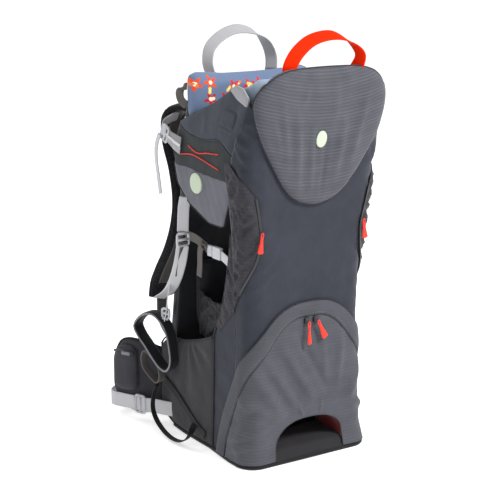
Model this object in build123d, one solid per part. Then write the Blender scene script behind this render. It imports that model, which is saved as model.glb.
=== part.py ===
from build123d import *
import math
import os

# Framed child carrier backpack standing on its kickstand.
# Millimetres, +Z up, +Y towards the wearer. The origin is on the ground in the middle of the overall
# footprint; depths below are drawn from the middle of the bag, which lies MID_Y behind it.
# "left" is the wearer's left, the -X side.

os.makedirs("parts", exist_ok=True)

# ---------------------------------------------------------------- driving dimensions
MAIN_OD, MAIN_WALL = 19.0, 1.5      # main frame tube
BAR_OD = 16.0                       # cross bars and kickstand tube
ARM_OD = 14.0                       # side arms
HOOP_OD = 12.0                      # headrest hoop
UPRIGHT_X = 118.0                   # half spacing of the main uprights
LEAN = 0.145                        # forward lean of the back per mm of height
BACK_Y0 = 160.0                     # back plane at ground level
TOP_Z = 690.0                       # centre line of the top of the main hoop
SPLICE_Z = 330.0                    # where the upper and the lower hoop meet
KNEE_Z = 110.0                      # where the lower hoop turns in to the ground
ARM_Z = 560.0                       # where the side arms leave the uprights
LEG_X = 111.0                       # half spacing of the kickstand legs
PIVOT_Y, PIVOT_Z = -95.0, 500.0     # kickstand hinge
STAND_Y, BASE_Y = -127.0, 75.0      # ground bars of the kickstand and of the frame
FOOT_OD = 24.0                      # rubber grips on both ground bars
EYE_OD, PIN_OD, BORE_OD = 26.0, 8.0, 8.8
CLOTH = 5.0                         # fabric shell thickness
WEB_T = 2.2                         # webbing thickness
MID_Y = 58.0                        # middle of the footprint, measured from the middle of the bag
SLOT_HALF, SLOT_SPRING, SLOT_TOP = 74.0, 34.0, 83.0     # foot slot in the rear pocket

LEAN_COS, LEAN_SIN = math.cos(math.atan(LEAN)), math.sin(math.atan(LEAN))

# outer shell: height, half width, depth
LOWER_SHELL = [(6, 137, 152), (50, 130, 146), (250, 127, 146), (400, 130, 151), (466, 135, 156), (490, 138, 160)]
UPPER_SHELL = [(508, 145, 161), (600, 150, 175), (660, 152, 184), (712, 150, 187)]
UPPER_EDGE = [-100, -108, -128, -146]       # rear edge of the upper shell at the same heights


# ---------------------------------------------------------------- helpers
def lean_y(z):
    """Back plane of the frame at height z."""
    return BACK_Y0 - LEAN * z


def on_back(x, z, out=0.0):
    """Point on the leaning back plane, moved `out` mm towards the wearer."""
    return (x, lean_y(z) + out * LEAN_COS, z + out * LEAN_SIN)


def line_of(points, bend):
    return Line(*points) if len(points) == 2 else FilletPolyline(*points, radius=bend)


def tube(points, bend, outer, wall):
    path = line_of(points, bend)
    ring = Plane(origin=path @ 0, z_dir=path % 0) * (Circle(outer / 2) - Circle(outer / 2 - wall))
    return sweep(ring, path=path)


def rod(points, bend, outer):
    path = line_of(points, bend)
    return sweep(Plane(origin=path @ 0, z_dir=path % 0) * Circle(outer / 2), path=path)


def strap(points, bend, width, thick, across):
    """Flat webbing along a centre line, `across` being the direction of its width at the start."""
    path = line_of(points, bend)
    start = Plane(origin=path @ 0, x_dir=across, z_dir=path % 0)
    return sweep(start * Rectangle(width, thick), path=path)


def block(x0, x1, y0, y1, z0, z1):
    return Pos((x0 + x1) / 2, (y0 + y1) / 2, (z0 + z1) / 2) * Box(abs(x1 - x0), abs(y1 - y0), abs(z1 - z0))


def pad(x0, x1, y0, y1, z0, z1, soft):
    """Block with rounded edges."""
    solid = block(x0, x1, y0, y1, z0, z1)
    return fillet(solid.edges(), soft)


def x_pin(radius, x0, x1, y, z):
    return Plane(origin=((x0 + x1) / 2, y, z), z_dir=(1, 0, 0)) * Cylinder(radius, abs(x1 - x0))


def side_face(x):
    """Plane facing +X whose local x is +Y and local y is +Z."""
    return Plane(origin=(x, 0, 0), x_dir=(0, 1, 0), z_dir=(1, 0, 0))


def front_face(y):
    """Plane facing -Y whose local x is +X and local y is +Z."""
    return Plane(origin=(0, y, 0), x_dir=(1, 0, 0), z_dir=(0, -1, 0))


def back_face(out):
    """Plane facing the wearer on the leaning back; local x is -X, local y runs up the back."""
    return Plane(origin=on_back(0, 0, out), x_dir=(-1, 0, 0), z_dir=(0, LEAN_COS, LEAN_SIN))


def back_slab(half, low, high, out, thick, corner):
    """Rounded plate parallel to the leaning back between two heights."""
    face = Pos(0, (low + high) / 2 / LEAN_COS) * RectangleRounded(2 * half, (high - low) / LEAN_COS, corner)
    return extrude(back_face(out) * face, amount=thick)


def side_sheet(outline, x0, x1):
    return extrude(side_face(x0) * make_face(Polyline(*outline, close=True)), amount=x1 - x0)


def side_ribbon(points, bend, thick, x0, x1):
    return extrude(side_face(x0) * trace(line_of(points, bend), thick), amount=x1 - x0)


def front_ribbon(points, bend, thick, y0, y1):
    return extrude(front_face(y1) * trace(line_of(points, bend), thick), amount=y1 - y0)


def plan_ribbon(points, bend, thick, z0, z1):
    return extrude(Plane.XY.offset(z0) * trace(line_of(points, bend), thick), amount=z1 - z0)


def shell_section(z, half, deep, edge, thick, corner=30.0):
    """U-shaped fabric section, open towards the wearer."""
    outer = FilletPolyline((-half, edge), (-half, -deep), (half, -deep), (half, edge), radius=corner)
    h, d = half - thick, deep - thick
    inner = FilletPolyline((-h, edge), (-h, -d), (h, -d), (h, edge), radius=corner - thick)
    ends = [Line(outer @ 1, inner @ 1), Line(inner @ 0, outer @ 0)]
    return Plane.XY.offset(z) * make_face([*outer.edges(), *inner.edges(), *[e.edge() for e in ends]])


def shell(stations, edges, thick, grow=0.0):
    faces = [shell_section(z, w + grow, d + grow, e, thick) for (z, w, d), e in zip(stations, edges)]
    return loft(faces, ruled=True)


def arch(half, spring, top, low):
    """Arch outline standing on `low`, in a front view."""
    curve = Spline((-half, spring), (0, top), (half, spring), tangents=((0, 1), (0, -1)))
    foot = Polyline((half, spring), (half, low), (-half, low), (-half, spring))
    return make_face([*curve.edges(), *foot.edges()])


def save(name, *pieces):
    """One node, moved into the shared frame."""
    solids = [Pos(0, -MID_Y, 0) * solid for piece in pieces for solid in piece.solids()]
    export_step(solids[0] if len(solids) == 1 else Compound(solids), f"parts/{name}.step")


def save_pair(name, *left):
    """The pieces made for the left side, and their mirror images for the right."""
    save(name + "_left", *left)
    save(name + "_right", *[mirror(p, about=Plane.YZ) for p in left])


def save_both(name, *pieces):
    """Pieces made for the left side together with their mirror images, as one node."""
    save(name, *pieces, *[mirror(p, about=Plane.YZ) for p in pieces])


# ---------------------------------------------------------------- main frame
hoop_line = [(-UPRIGHT_X, lean_y(SPLICE_Z), SPLICE_Z), (-UPRIGHT_X, lean_y(TOP_Z), TOP_Z),
             (UPRIGHT_X, lean_y(TOP_Z), TOP_Z), (UPRIGHT_X, lean_y(SPLICE_Z), SPLICE_Z)]
base_line = [(-UPRIGHT_X, lean_y(SPLICE_Z), SPLICE_Z), (-UPRIGHT_X, lean_y(KNEE_Z), KNEE_Z),
             (-UPRIGHT_X, BASE_Y, FOOT_OD / 2), (UPRIGHT_X, BASE_Y, FOOT_OD / 2),
             (UPRIGHT_X, lean_y(KNEE_Z), KNEE_Z), (UPRIGHT_X, lean_y(SPLICE_Z), SPLICE_Z)]
save("main_hoop", tube(hoop_line, 60, MAIN_OD, MAIN_WALL))
save("base_hoop", tube(base_line, 35, MAIN_OD, MAIN_WALL))
frame_core = rod(hoop_line, 60, MAIN_OD) + rod(base_line, 35, MAIN_OD)

sleeve_ends = [on_back(-UPRIGHT_X, SPLICE_Z - 32), on_back(-UPRIGHT_X, SPLICE_Z + 32)]
save_both("splice_sleeves", tube(sleeve_ends, 0, MAIN_OD + 5, 2.5))

bars = []
for z in (585, 260, 150):
    ends = [(-UPRIGHT_X, lean_y(z), z), (UPRIGHT_X, lean_y(z), z)]
    bars.append(tube(ends, 0, BAR_OD, 1.5) - frame_core)
save("cross_bars", *bars)

arm_line = [(-UPRIGHT_X, lean_y(ARM_Z), ARM_Z), (-LEG_X, PIVOT_Y + 18, PIVOT_Z + 3)]
behind_arm = block(-160, 0, PIVOT_Y - 60, PIVOT_Y + 25, 400, 600)
arm = tube(arm_line, 0, ARM_OD, 1.5) - frame_core - behind_arm
arm_core = rod(arm_line, 0, ARM_OD)

# clevis welded to each arm, carrying the kickstand leg
plates = [block(-LEG_X + s * 8.4, -LEG_X + s * 12.4, PIVOT_Y - 12, PIVOT_Y + 15, PIVOT_Z - 12, PIVOT_Z + 12)
          for s in (-1, 1)]
bracket = plates[0] + plates[1] + block(-LEG_X - 12.4, -LEG_X + 12.4, PIVOT_Y + 15, PIVOT_Y + 25,
                                        PIVOT_Z - 12, PIVOT_Z + 12)
bracket -= x_pin(PIN_OD / 2 + 0.1, -LEG_X - 20, -LEG_X + 20, PIVOT_Y, PIVOT_Z)
save_pair("side_arm", arm + bracket)
pin = x_pin(PIN_OD / 2, -LEG_X - 12.4, -LEG_X + 12.4, PIVOT_Y, PIVOT_Z)
for s in (-1, 1):
    pin += x_pin(6.5, -LEG_X + s * 12.4, -LEG_X + s * 15, PIVOT_Y, PIVOT_Z)
save_both("hinge_pins", pin)

hoop_y = -160.0
rest_line = [(-112, -45, 513), (-118, -125, 575), (-121, hoop_y, 655), (-121, hoop_y, 704),
             (121, hoop_y, 704), (121, hoop_y, 655), (118, -125, 575), (112, -45, 513)]
both_arms = arm_core + mirror(arm_core, about=Plane.YZ)
save("headrest_hoop", tube(rest_line, 28, HOOP_OD, 1.2) - both_arms)



def ground_grip(half, y, core):
    """Rubber sleeve round a ground bar, with a flat sole."""
    body = x_pin(FOOT_OD / 2, -half, half, y, FOOT_OD / 2) + block(-half, half, y - 7, y + 7, 0, 8)
    return body - x_pin(core / 2, -half - 1, half + 1, y, FOOT_OD / 2)


save("base_foot", ground_grip(80, BASE_Y, MAIN_OD))

# ---------------------------------------------------------------- back system
save("back_board", back_slab(100, 205, 600, 8.3, 3, 20))
channel_pads = [extrude(back_face(11.6) * Pos(s * 47, 362) * RectangleRounded(66, 290, 24), amount=17)
                for s in (-1, 1)]
save("back_pad", *channel_pads)
save("lumbar_pad", back_slab(90, 52, 198, 11.6, 20, 30))
face_pad = fillet(block(-127, 127, 38, 56, 560, 711).edges(), 7)
save("face_pad", Pos(0, -8, 0) * face_pad)
save("headrest_liner", fillet(block(-108, 108, -153, -143, 560, 724).edges(), 4))

# ---------------------------------------------------------------- outer shell carried by the frame
save("outer_panel_upper", shell(UPPER_SHELL, UPPER_EDGE, CLOTH))

shield_side = [(142, 690), (140, 660), (133, 640), (112, 575), (90, 546), (64, 516), (34, 497)]
shield_left = [(-x, z) for x, z in shield_side]
shield_edge = Spline(*shield_left, (0, 490), *reversed(shield_side))
shield_top = FilletPolyline((142, 690), (112, 727), (-112, 727), (-142, 690), radius=18)
shield_face = make_face([*shield_edge.edges(), *shield_top.edges()])
slope = 0.14
shield_plane = Plane(origin=(0, -171 + slope * 491, 0), x_dir=(1, 0, 0), z_dir=(0, -1, -slope))
save("headrest_shield", extrude(shield_plane * shield_face, amount=-8))

wing = [(77, 619), (46, 632), (-45, 667), (-114, 697), (-141, 688), (-122, 640), (-103, 590), (-95, 533),
        (-88, 490), (-70, 442), (-24, 442), (50, 469), (87, 500), (100, 535), (92, 590)]
save_pair("side_wing", side_sheet(wing, -138, -131))

panel = [(-97, 6), (75, 6), (121, 10), (160, 29), (172, 48), (165, 165), (135, 186), (82, 192), (24, 208),
         (-26, 226), (-37, 248), (-60, 303), (-82, 380), (-92, 430), (-97, 436)]
save_pair("side_panel", side_sheet(panel, -132, -128.3))
save("base_floor", pad(-85, 85, -112, 84, 24.5, 27.5, 1.2))

# ---------------------------------------------------------------- kickstand and the shell it carries
stand_line = [(-LEG_X, PIVOT_Y, PIVOT_Z), (-LEG_X, STAND_Y, FOOT_OD / 2),
              (LEG_X, STAND_Y, FOOT_OD / 2), (LEG_X, PIVOT_Y, PIVOT_Z)]
stand = tube(stand_line, 40, BAR_OD, 1.5)
for s in (-1, 1):
    stand -= x_pin(EYE_OD / 2, s * LEG_X - 8, s * LEG_X + 8, PIVOT_Y, PIVOT_Z)
for s in (-1, 1):
    eye = x_pin(EYE_OD / 2, s * LEG_X - 8, s * LEG_X + 8, PIVOT_Y, PIVOT_Z)
    stand += eye - x_pin(BORE_OD / 2, s * LEG_X - 9, s * LEG_X + 9, PIVOT_Y, PIVOT_Z)
save("kickstand_tube", stand)
save("kickstand_foot", ground_grip(68, STAND_Y, BAR_OD))

slot = extrude(front_face(-60) * arch(SLOT_HALF, SLOT_SPRING, SLOT_TOP, -10), amount=140)
lower = shell(LOWER_SHELL, [-100] * 6, CLOTH) - slot
gusset_side = [(-97, 290), (-150, 352), (-190, 392), (-190, 500), (-97, 500)]
crescents = [side_sheet(gusset_side, x, x + 50) for x in (-160, 110)]
save("outer_panel_lower", lower - crescents[0] - crescents[1])
save_pair("gusset", lower & crescents[0])

pocket_left = [(-150, 196), (-122, 230), (-91, 261), (-45, 289)]
pocket_top = Spline(*pocket_left, (0, 298), *[(-x, z) for x, z in reversed(pocket_left)])
pocket_foot = Polyline((150, 196), (150, 0), (-150, 0), (-150, 196))
pocket_face = make_face([*pocket_top.edges(), *pocket_foot.edges()])
pocket_reach = extrude(front_face(-98) * pocket_face, amount=90)
pocket = (shell(LOWER_SHELL[:4], [-99] * 4, 3.6, grow=4.2) & pocket_reach) - slot
save("lower_pocket", pocket)
lining = arch(SLOT_HALF + 4, SLOT_SPRING, SLOT_TOP + 4, 28.5) - arch(SLOT_HALF + 1.5, SLOT_SPRING, SLOT_TOP + 1.5, 20)
save("slot_lining", extrude(front_face(-72) * lining, amount=66))

# zip sliders and their pull tabs
slider = [pad(x - 5, x + 5, -156.4, -151.4, 262, 274, 1.2) for x in (-8, 12)]
save("pocket_sliders", *slider)
for name, x in (("pocket_pull_left", -8), ("pocket_pull_right", 12)):
    save(name, pad(x - 7, x + 7, -159.5, -157, 230, 266, 1.0))
save_pair("gusset_pull", pad(-118, -106, -163, -160.6, 412, 446, 1.0))

# ---------------------------------------------------------------- child seat
seat_line = [(72, 345), (62, 210), (-34, 214), (-76, 340), (-112, 520)]
save("child_seat", side_ribbon(seat_line, 28, 9, -90, 90))
save_both("child_straps", side_ribbon([(-99, 505), (-72, 470), (-40, 380), (-36, 270)], 30, 5, -52, -24))

# ---------------------------------------------------------------- grab handles
save("front_handle", front_ribbon([(-68, 702), (-60, 768), (-22, 783), (22, 783), (60, 768), (68, 702)],
                                  14, 2.4, 66, 88))
save("rear_handle", front_ribbon([(-70, 714), (-64, 772), (-26, 793), (26, 793), (64, 772), (70, 714)],
                                 14, 2.4, -186, -164))

# ---------------------------------------------------------------- shoulder harness
save("yoke_plate", back_slab(74, 545, 607, 12.0, 3.5, 12))
shoulder = [on_back(-50, 560, 23.5), (-58, 122, 628), (-92, 172, 606), (-104, 150, 520), (-105, 139, 455),
            (-105, 138, 410), (-105, 158, 350), (-105, 200, 290), (-105, 212, 248)]
save_pair("shoulder_strap", strap(shoulder, 16, 48, 14, (1, 0, 0)))
save_both("strap_tails", strap([(-105, 206, 243), (-108, 203, 200), (-113, 150, 172)], 12, 25, WEB_T, (1, 0, 0)))
sternum = [(-78, 146, 430), (-40, 158, 424), (40, 158, 424), (78, 146, 430)]
save("sternum_strap", strap(sternum, 20, 20, WEB_T, (0, 0, 1)))



def ladder_lock(width, height, deep):
    frame = fillet(Box(width, height, deep).edges().filter_by(Axis.Z), 3)
    for s in (-1, 1):
        frame -= Pos(0, s * height * 0.24, 0) * Box(width - 8, height * 0.2, deep + 2)
    return frame


def placed(shape, origin, across, facing):
    """Put a flat piece so that its width runs along `across` and its face looks along `facing`."""
    return Plane(origin=origin, x_dir=across, z_dir=facing) * shape


# load lifter: anchor webbing, ladder lock, run to the shoulder strap and a hanging tail
lifter_lock = placed(ladder_lock(34, 24, 5), (-141, 124, 589), (0, -0.4, 0.917), (-1, 0, 0))
save_both("lifter_straps",
          strap([(-140, 62, 562), (-140, 110, 583)], 0, 28, WEB_T, (0, -0.4, 1)),
          strap([(-140, 138, 595), (-134, 156, 602)], 0, 20, WEB_T, (0, -0.3, 1)),
          strap([(-145.4, 138, 586), (-145.4, 156, 545), (-144, 166, 513), (-144, 160, 476)],
                20, 11, WEB_T, (0, 1, 0.4)))

# side adjuster between the wing and the foot of the shoulder strap
adjuster_lock = placed(ladder_lock(28, 26, 5), (-143, 68, 396), (1, 0, 0), (0, -1, 0))
save_both("adjuster_straps",
          strap([(-143, 66, 474), (-143, 68, 412)], 0, 20, WEB_T, (1, 0, 0)),
          strap([(-143, 70, 380), (-143, 110, 330), (-136, 150, 280), (-132, 176, 256)],
                25, 20, WEB_T, (1, 0, 0)))

# ---------------------------------------------------------------- side buckles over the leg openings
rear = block(-125.5, -118.5, -42, -16, 374, 396) - block(-123.8, -120.2, -30, -10, 377, 393)
save_both("side_buckle_sockets", rear)
prong = block(-125, -119, -13, 2, 375, 395)
for z in (379, 391):
    prong += block(-123.4, -120.6, -29, -13, z - 1.8, z + 1.8)
save_pair("side_buckle_plug", prong)
save_both("side_straps",
          strap([(-122, -47, 383), (-124, -78, 372)], 0, 18, WEB_T, (0, 0, 1)),
          strap([(-122, 6, 386), (-122, 40, 396), (-122, 88, 398)], 20, 18, WEB_T, (0, 0, 1)))

# ---------------------------------------------------------------- hip belt
fin_line = [(-95, 178), (-128, 189), (-165, 226), (-185, 268)]
fin_side = [(165, 62), (165, 130), (200, 158), (228, 168), (256, 160), (276, 118), (276, 52), (250, 20),
            (218, 13), (190, 30)]
fin = plan_ribbon(fin_line, 18, 14, 0, 190) & side_sheet(fin_side, -240, -60)
pouch = plan_ribbon([(-176, 219), (-195, 260)], 0, 12, 62, 150)
save_pair("hip_fin", fin + fillet(pouch.edges(), 4))
belt = [(-174.5, 214), (-192, 252), (-200, 272), (-192, 286), (-150, 302), (-42, 312)]
belt_root = [(-135, 128), (-150, 160), (-159, 176)]
save_pair("hip_webbing", plan_ribbon(belt, 8, WEB_T, 19, 49), plan_ribbon(belt_root, 15, WEB_T, 22, 52))
save_both("belt_locks", placed(ladder_lock(38, 26, 6), (-166.5, 194, 35), (0, 0, 1), (-0.93, -0.37, 0)))
socket = block(-40, -2, 305, 319, 16, 52) - block(-24, 0, 308, 316, 20, 48)
save("waist_socket", socket)
plug = block(2, 38, 306, 318, 17, 51)
for z in (24, 34, 44):
    plug += block(-22, 2, 310, 314, z - 2.5, z + 2.5)
save("waist_plug", plug)

# ---------------------------------------------------------------- stirrups and tethers
ring_line = [(112, 221), (146, 238), (178, 216), (180, 200), (140, 154), (120, 134), (104, 129), (93, 150),
             (98, 186)]
stirrup_plane = Plane(origin=(-164, 147, 0), x_dir=(-0.32, 0.947, 0), z_dir=(-0.947, -0.32, 0))
ring_local = [((y - 147) / 0.947, -z) for y, z in ring_line]
ring = trace(FilletPolyline(*ring_local, radius=7, close=True), 4)
stirrup = extrude(stirrup_plane * ring, amount=12, both=True)
under = [((y - 147) / 0.947, -z) for y, z in [(126, 126), (146, 148), (162, 158), (168, 132), (148, 107), (128, 97)]]
loop = trace(FilletPolyline(*under, radius=6, close=True), WEB_T)
save_pair("stirrup", stirrup, extrude(stirrup_plane * loop, amount=9, both=True))
stirrup_buckle = placed(ladder_lock(22, 20, 5), (-154, 109, 242), (-0.32, 0.947, 0), (-0.947, -0.32, 0))
save_both("stirrup_hangers", strap([(-141, 104, 322), (-149, 105, 290), (-153, 108, 254)], 20, 16, WEB_T, (1, 0, 0)))
save_both("ladder_locks", lifter_lock, adjuster_lock, stirrup_buckle)
save_both("tethers", strap([(-160, 136, 90), (-165, 146, 42), (-168, 98, 16), (-172, 40, 9), (-166, 12, 20),
                            (-150, 22, 32), (-134, 40, 30)], 6, 12, WEB_T, (0.9, 0.3, 0)))
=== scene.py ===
import math
from contextlib import contextmanager

import bmesh
import bpy
import numpy as np
from mathutils import Matrix, Vector, noise
from mathutils.geometry import delaunay_2d_cdt


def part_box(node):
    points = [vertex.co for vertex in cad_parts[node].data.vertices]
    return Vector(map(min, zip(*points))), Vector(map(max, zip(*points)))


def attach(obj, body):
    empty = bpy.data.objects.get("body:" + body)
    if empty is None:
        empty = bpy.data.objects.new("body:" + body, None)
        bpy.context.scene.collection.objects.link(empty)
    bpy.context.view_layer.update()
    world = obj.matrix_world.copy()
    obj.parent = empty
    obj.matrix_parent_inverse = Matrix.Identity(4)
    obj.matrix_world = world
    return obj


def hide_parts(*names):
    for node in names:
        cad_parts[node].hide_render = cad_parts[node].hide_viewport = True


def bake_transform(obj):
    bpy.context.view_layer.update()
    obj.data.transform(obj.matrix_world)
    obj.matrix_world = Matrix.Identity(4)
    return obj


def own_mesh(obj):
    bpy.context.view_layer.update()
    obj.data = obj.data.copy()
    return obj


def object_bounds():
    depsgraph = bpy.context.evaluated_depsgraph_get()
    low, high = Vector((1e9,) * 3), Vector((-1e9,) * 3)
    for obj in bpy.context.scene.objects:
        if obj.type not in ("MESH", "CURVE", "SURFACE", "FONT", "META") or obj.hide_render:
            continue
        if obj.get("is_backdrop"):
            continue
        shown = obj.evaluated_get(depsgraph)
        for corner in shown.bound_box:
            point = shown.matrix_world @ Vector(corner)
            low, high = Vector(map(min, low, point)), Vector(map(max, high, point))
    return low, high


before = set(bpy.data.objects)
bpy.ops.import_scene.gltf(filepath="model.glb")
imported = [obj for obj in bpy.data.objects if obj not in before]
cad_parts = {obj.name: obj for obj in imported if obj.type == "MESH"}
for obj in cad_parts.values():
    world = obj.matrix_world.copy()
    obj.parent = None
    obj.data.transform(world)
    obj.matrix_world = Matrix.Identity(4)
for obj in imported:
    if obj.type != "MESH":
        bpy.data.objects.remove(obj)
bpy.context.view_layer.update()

# Everything below is drawn in millimetres, with depths from the middle of the bag, as in the CAD.
# MID_Y is how far that lies from the shared frame's origin, read from the frame's ground grip.
lo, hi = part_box("base_foot")
MID_Y = 75.0 - 500.0 * (lo.y + hi.y)
SIDES = ((-1, "left"), (1, "right"))
UP = Vector((0, 0, 1))


def P(x, y, z):
    return Vector((x, y - MID_Y, z)) / 1000.0


def bag(co):
    """Bag millimetres of a point of the scene."""
    return Vector((1000 * co.x, 1000 * co.y + MID_Y, 1000 * co.z))


# ------------------------------------------------------------------ curves and interpolation
def clamp(t):
    return max(0.0, min(1.0, t))


def hermite(p1, m1, p2, m2, u):
    return (p1 * (2 * u**3 - 3 * u**2 + 1) + m1 * (u**3 - 2 * u**2 + u)
            + p2 * (3 * u**2 - 2 * u**3) + m2 * (u**3 - u**2))


def curve_at(table, t):
    """Smooth value of a table of (position, value) at t."""
    if t <= table[0][0]:
        return table[0][1]
    if t >= table[-1][0]:
        return table[-1][1]
    i = max(k for k in range(len(table) - 1) if table[k][0] <= t)
    (x0, y0), (x1, y1) = table[i:i + 2]
    slope = []
    for k in (i, i + 1):
        if 0 < k < len(table) - 1:
            a, b, c = table[k - 1:k + 2]
            left, right = (b[1] - a[1]) / (b[0] - a[0]), (c[1] - b[1]) / (c[0] - b[0])
            slope.append(0.0 if left * right <= 0 else 2 * left * right / (left + right))
        else:
            slope.append((y1 - y0) / (x1 - x0))
    h = x1 - x0
    return hermite(y0, h * slope[0], y1, h * slope[1], (t - x0) / h)


def smooth_path(points, step=4.0, closed=False):
    """Catmull-Rom line through the points, about `step` apart."""
    pts = [Vector(p) for p in points]
    n, out = len(pts), []
    for i in range(n if closed else n - 1):
        p1, p2 = pts[i], pts[(i + 1) % n]
        p0 = pts[i - 1] if (i or closed) else p1 * 2 - p2
        p3 = pts[(i + 2) % n] if (i + 2 < n or closed) else p2 * 2 - p1
        count = max(2, int((p2 - p1).length / step))
        out += [hermite(p1, (p2 - p0) * 0.5, p2, (p3 - p1) * 0.5, k / count) for k in range(count)]
    return out if closed else out + [pts[-1]]


def flat_path(points, step=3.0):
    return smooth_path([(a, b, 0) for a, b in points], step)


def lengths(points, closed=False):
    total, out = 0.0, [0.0]
    for a, b in zip(points, points[1:] + (points[:1] if closed else [])):
        total += (b - a).length
        out.append(total)
    return out


def even(points, count, closed=False):
    """The line's points spaced evenly."""
    ring = points + points[:1] if closed else points
    run = lengths(points, closed)
    out, k = [], 0
    for i in range(count):
        t = run[-1] * i / (count if closed else count - 1)
        while k < len(ring) - 2 and run[k + 1] < t:
            k += 1
        gap = run[k + 1] - run[k]
        out.append(ring[k].lerp(ring[k + 1], 0.0 if gap < 1e-9 else min(1.0, (t - run[k]) / gap)))
    return out


def wobble(p, scale, seed=0.0):
    """Smooth noise from -1 to 1, `scale` mm across."""
    return noise.noise(Vector((p[0] / scale + seed, p[1] / scale - seed, p[2] / scale + 2 * seed)))


def tangent(path, i, closed=False):
    before = path[i - 1] if (i or closed) else path[0]
    after = path[(i + 1) % len(path)] if (i < len(path) - 1 or closed) else path[-1]
    return (after - before).normalized()


def square_to(side, t):
    """Unit direction of side, made square to t."""
    return (side - t * side.dot(t)).normalized()


# ------------------------------------------------------------------ mesh builders
@contextmanager
def editing(obj):
    bm = bmesh.new()
    bm.from_mesh(obj.data)
    yield bm
    bm.to_mesh(obj.data)
    bm.free()


def add_object(name, data):
    obj = bpy.data.objects.new(name, data)
    bpy.context.scene.collection.objects.link(obj)
    return obj


def new_mesh(name, verts, faces, material, uvs=None):
    """Object from points in bag millimetres; uvs are per point, in millimetres along the cloth."""
    mesh = bpy.data.meshes.new(name)
    mesh.from_pydata([P(*v) for v in verts], [], faces)
    if uvs:
        layer = mesh.uv_layers.new(name="cloth")
        for loop in mesh.loops:
            layer.data[loop.index].uv = [c / 1000.0 for c in uvs[loop.vertex_index]]
    mesh.polygons.foreach_set("use_smooth", [True] * len(mesh.polygons))
    mesh.materials.append(M[material])
    return add_object(name, mesh)


def apply_all(obj):
    """Turn the object's modifiers into mesh."""
    dep = bpy.context.evaluated_depsgraph_get()
    dep.update()
    mesh = bpy.data.meshes.new_from_object(obj.evaluated_get(dep))
    obj.modifiers.clear()
    old, obj.data = obj.data, mesh
    if old.users == 0:
        bpy.data.meshes.remove(old)
    return obj


def fix_normals(obj):
    with editing(obj) as bm:
        bmesh.ops.recalc_face_normals(bm, faces=bm.faces)
    return obj


def thicken(obj, thick, outward=0.0):
    """Give a sheet its thickness; outward 1 stands it on the drawn surface, 0 centres it there."""
    mod = obj.modifiers.new("thick", "SOLIDIFY")
    mod.thickness, mod.offset, mod.use_even_offset = thick / 1000.0, outward, False
    return apply_all(obj)


def grid(name, place, nu, nv, material, uv=None):
    """Sheet whose point at (u, v), each from 0 to 1, is place(u, v); uv is the cloth's size or a function."""
    if isinstance(uv, tuple):
        wide, tall = uv
        uv = lambda u, v: (u * wide, v * tall)
    spots = [(i / nu, j / nv) for j in range(nv + 1) for i in range(nu + 1)]
    row = nu + 1
    faces = [(a, a + 1, a + 1 + row, a + row) for j in range(nv) for a in range(j * row, j * row + nu)]
    return fix_normals(new_mesh(name, [place(*q) for q in spots], faces, material, uv and [uv(*q) for q in spots]))


def sweep(name, path, across, profile, material, closed=False):
    """Profile (list of (a, b)) carried along a path; a runs along `across`, b along the path's normal.
    across is one direction, or one per path point."""
    n, m = len(path), len(profile)
    verts, uvs = [], []
    run = lengths(path, closed)
    widths = [0.0]
    for a, b in zip(profile, profile[1:]):
        widths.append(widths[-1] + math.dist(a, b))
    for i, p in enumerate(path):
        t = tangent(path, i, closed)
        side = square_to(Vector(across[i] if isinstance(across, list) else across), t)
        up = t.cross(side)
        verts += [p + side * a + up * b for a, b in profile]
        uvs += [(w, run[i]) for w in widths]
    faces = [(i * m + k, (i + 1) % n * m + k, (i + 1) % n * m + (k + 1) % m, i * m + (k + 1) % m)
             for i in range(n if closed else n - 1) for k in range(m)]
    if not closed:
        faces += [tuple(range(m)), tuple((n - 1) * m + k for k in reversed(range(m)))]
    return fix_normals(new_mesh(name, verts, faces, material, uvs))


def flat_profile(width, thick):
    """Cross-section of webbing with soft edges."""
    w, t = width / 2, thick / 2
    top = [(-w + t * 0.6 + (2 * w - 1.2 * t) * k / 8, t) for k in range(9)]
    return top + [(w, 0.0)] + [(a, -b) for a, b in reversed(top)] + [(-w, 0.0)]


def pad_profile(width, thick, lobes=12, power=3.0):
    """Cross-section of a padded strap, thickest in the middle."""
    turns = [math.pi * k / lobes for k in range(2 * lobes)]
    return [(signed_power(math.cos(t), 2 / power) * width / 2, signed_power(math.sin(t), 2 / power) * thick / 2)
            for t in turns]


def signed_power(value, power):
    return math.copysign(abs(value) ** power, value)


def web(name, points, across, width, material, thick=1.8, closed=False):
    return sweep(name, smooth_path(points, 3.0, closed), across, flat_profile(width, thick), material, closed)


def piping(name, path, r, material, closed=False):
    """Corded edge along a line of points."""
    side = []
    for i in range(len(path)):
        t = tangent(path, i, closed)
        ref = UP if abs(t.z) < 0.8 else Vector((1, 0, 0))
        keep = side and side[-1].cross(t).length >= 0.2
        side.append(side[-1] if keep else ref)
    turns = [math.pi * k / 4 for k in range(8)]
    return sweep(name, path, side, [(r * math.cos(t), r * math.sin(t)) for t in turns], material, closed)


def joined(name, objs):
    """Several meshes as one piece."""
    bpy.ops.object.select_all(action="DESELECT")
    for o in objs:
        o.select_set(True)
    bpy.context.view_layer.objects.active = objs[0]
    bpy.ops.object.join()
    objs[0].name = name
    return objs[0]


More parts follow.
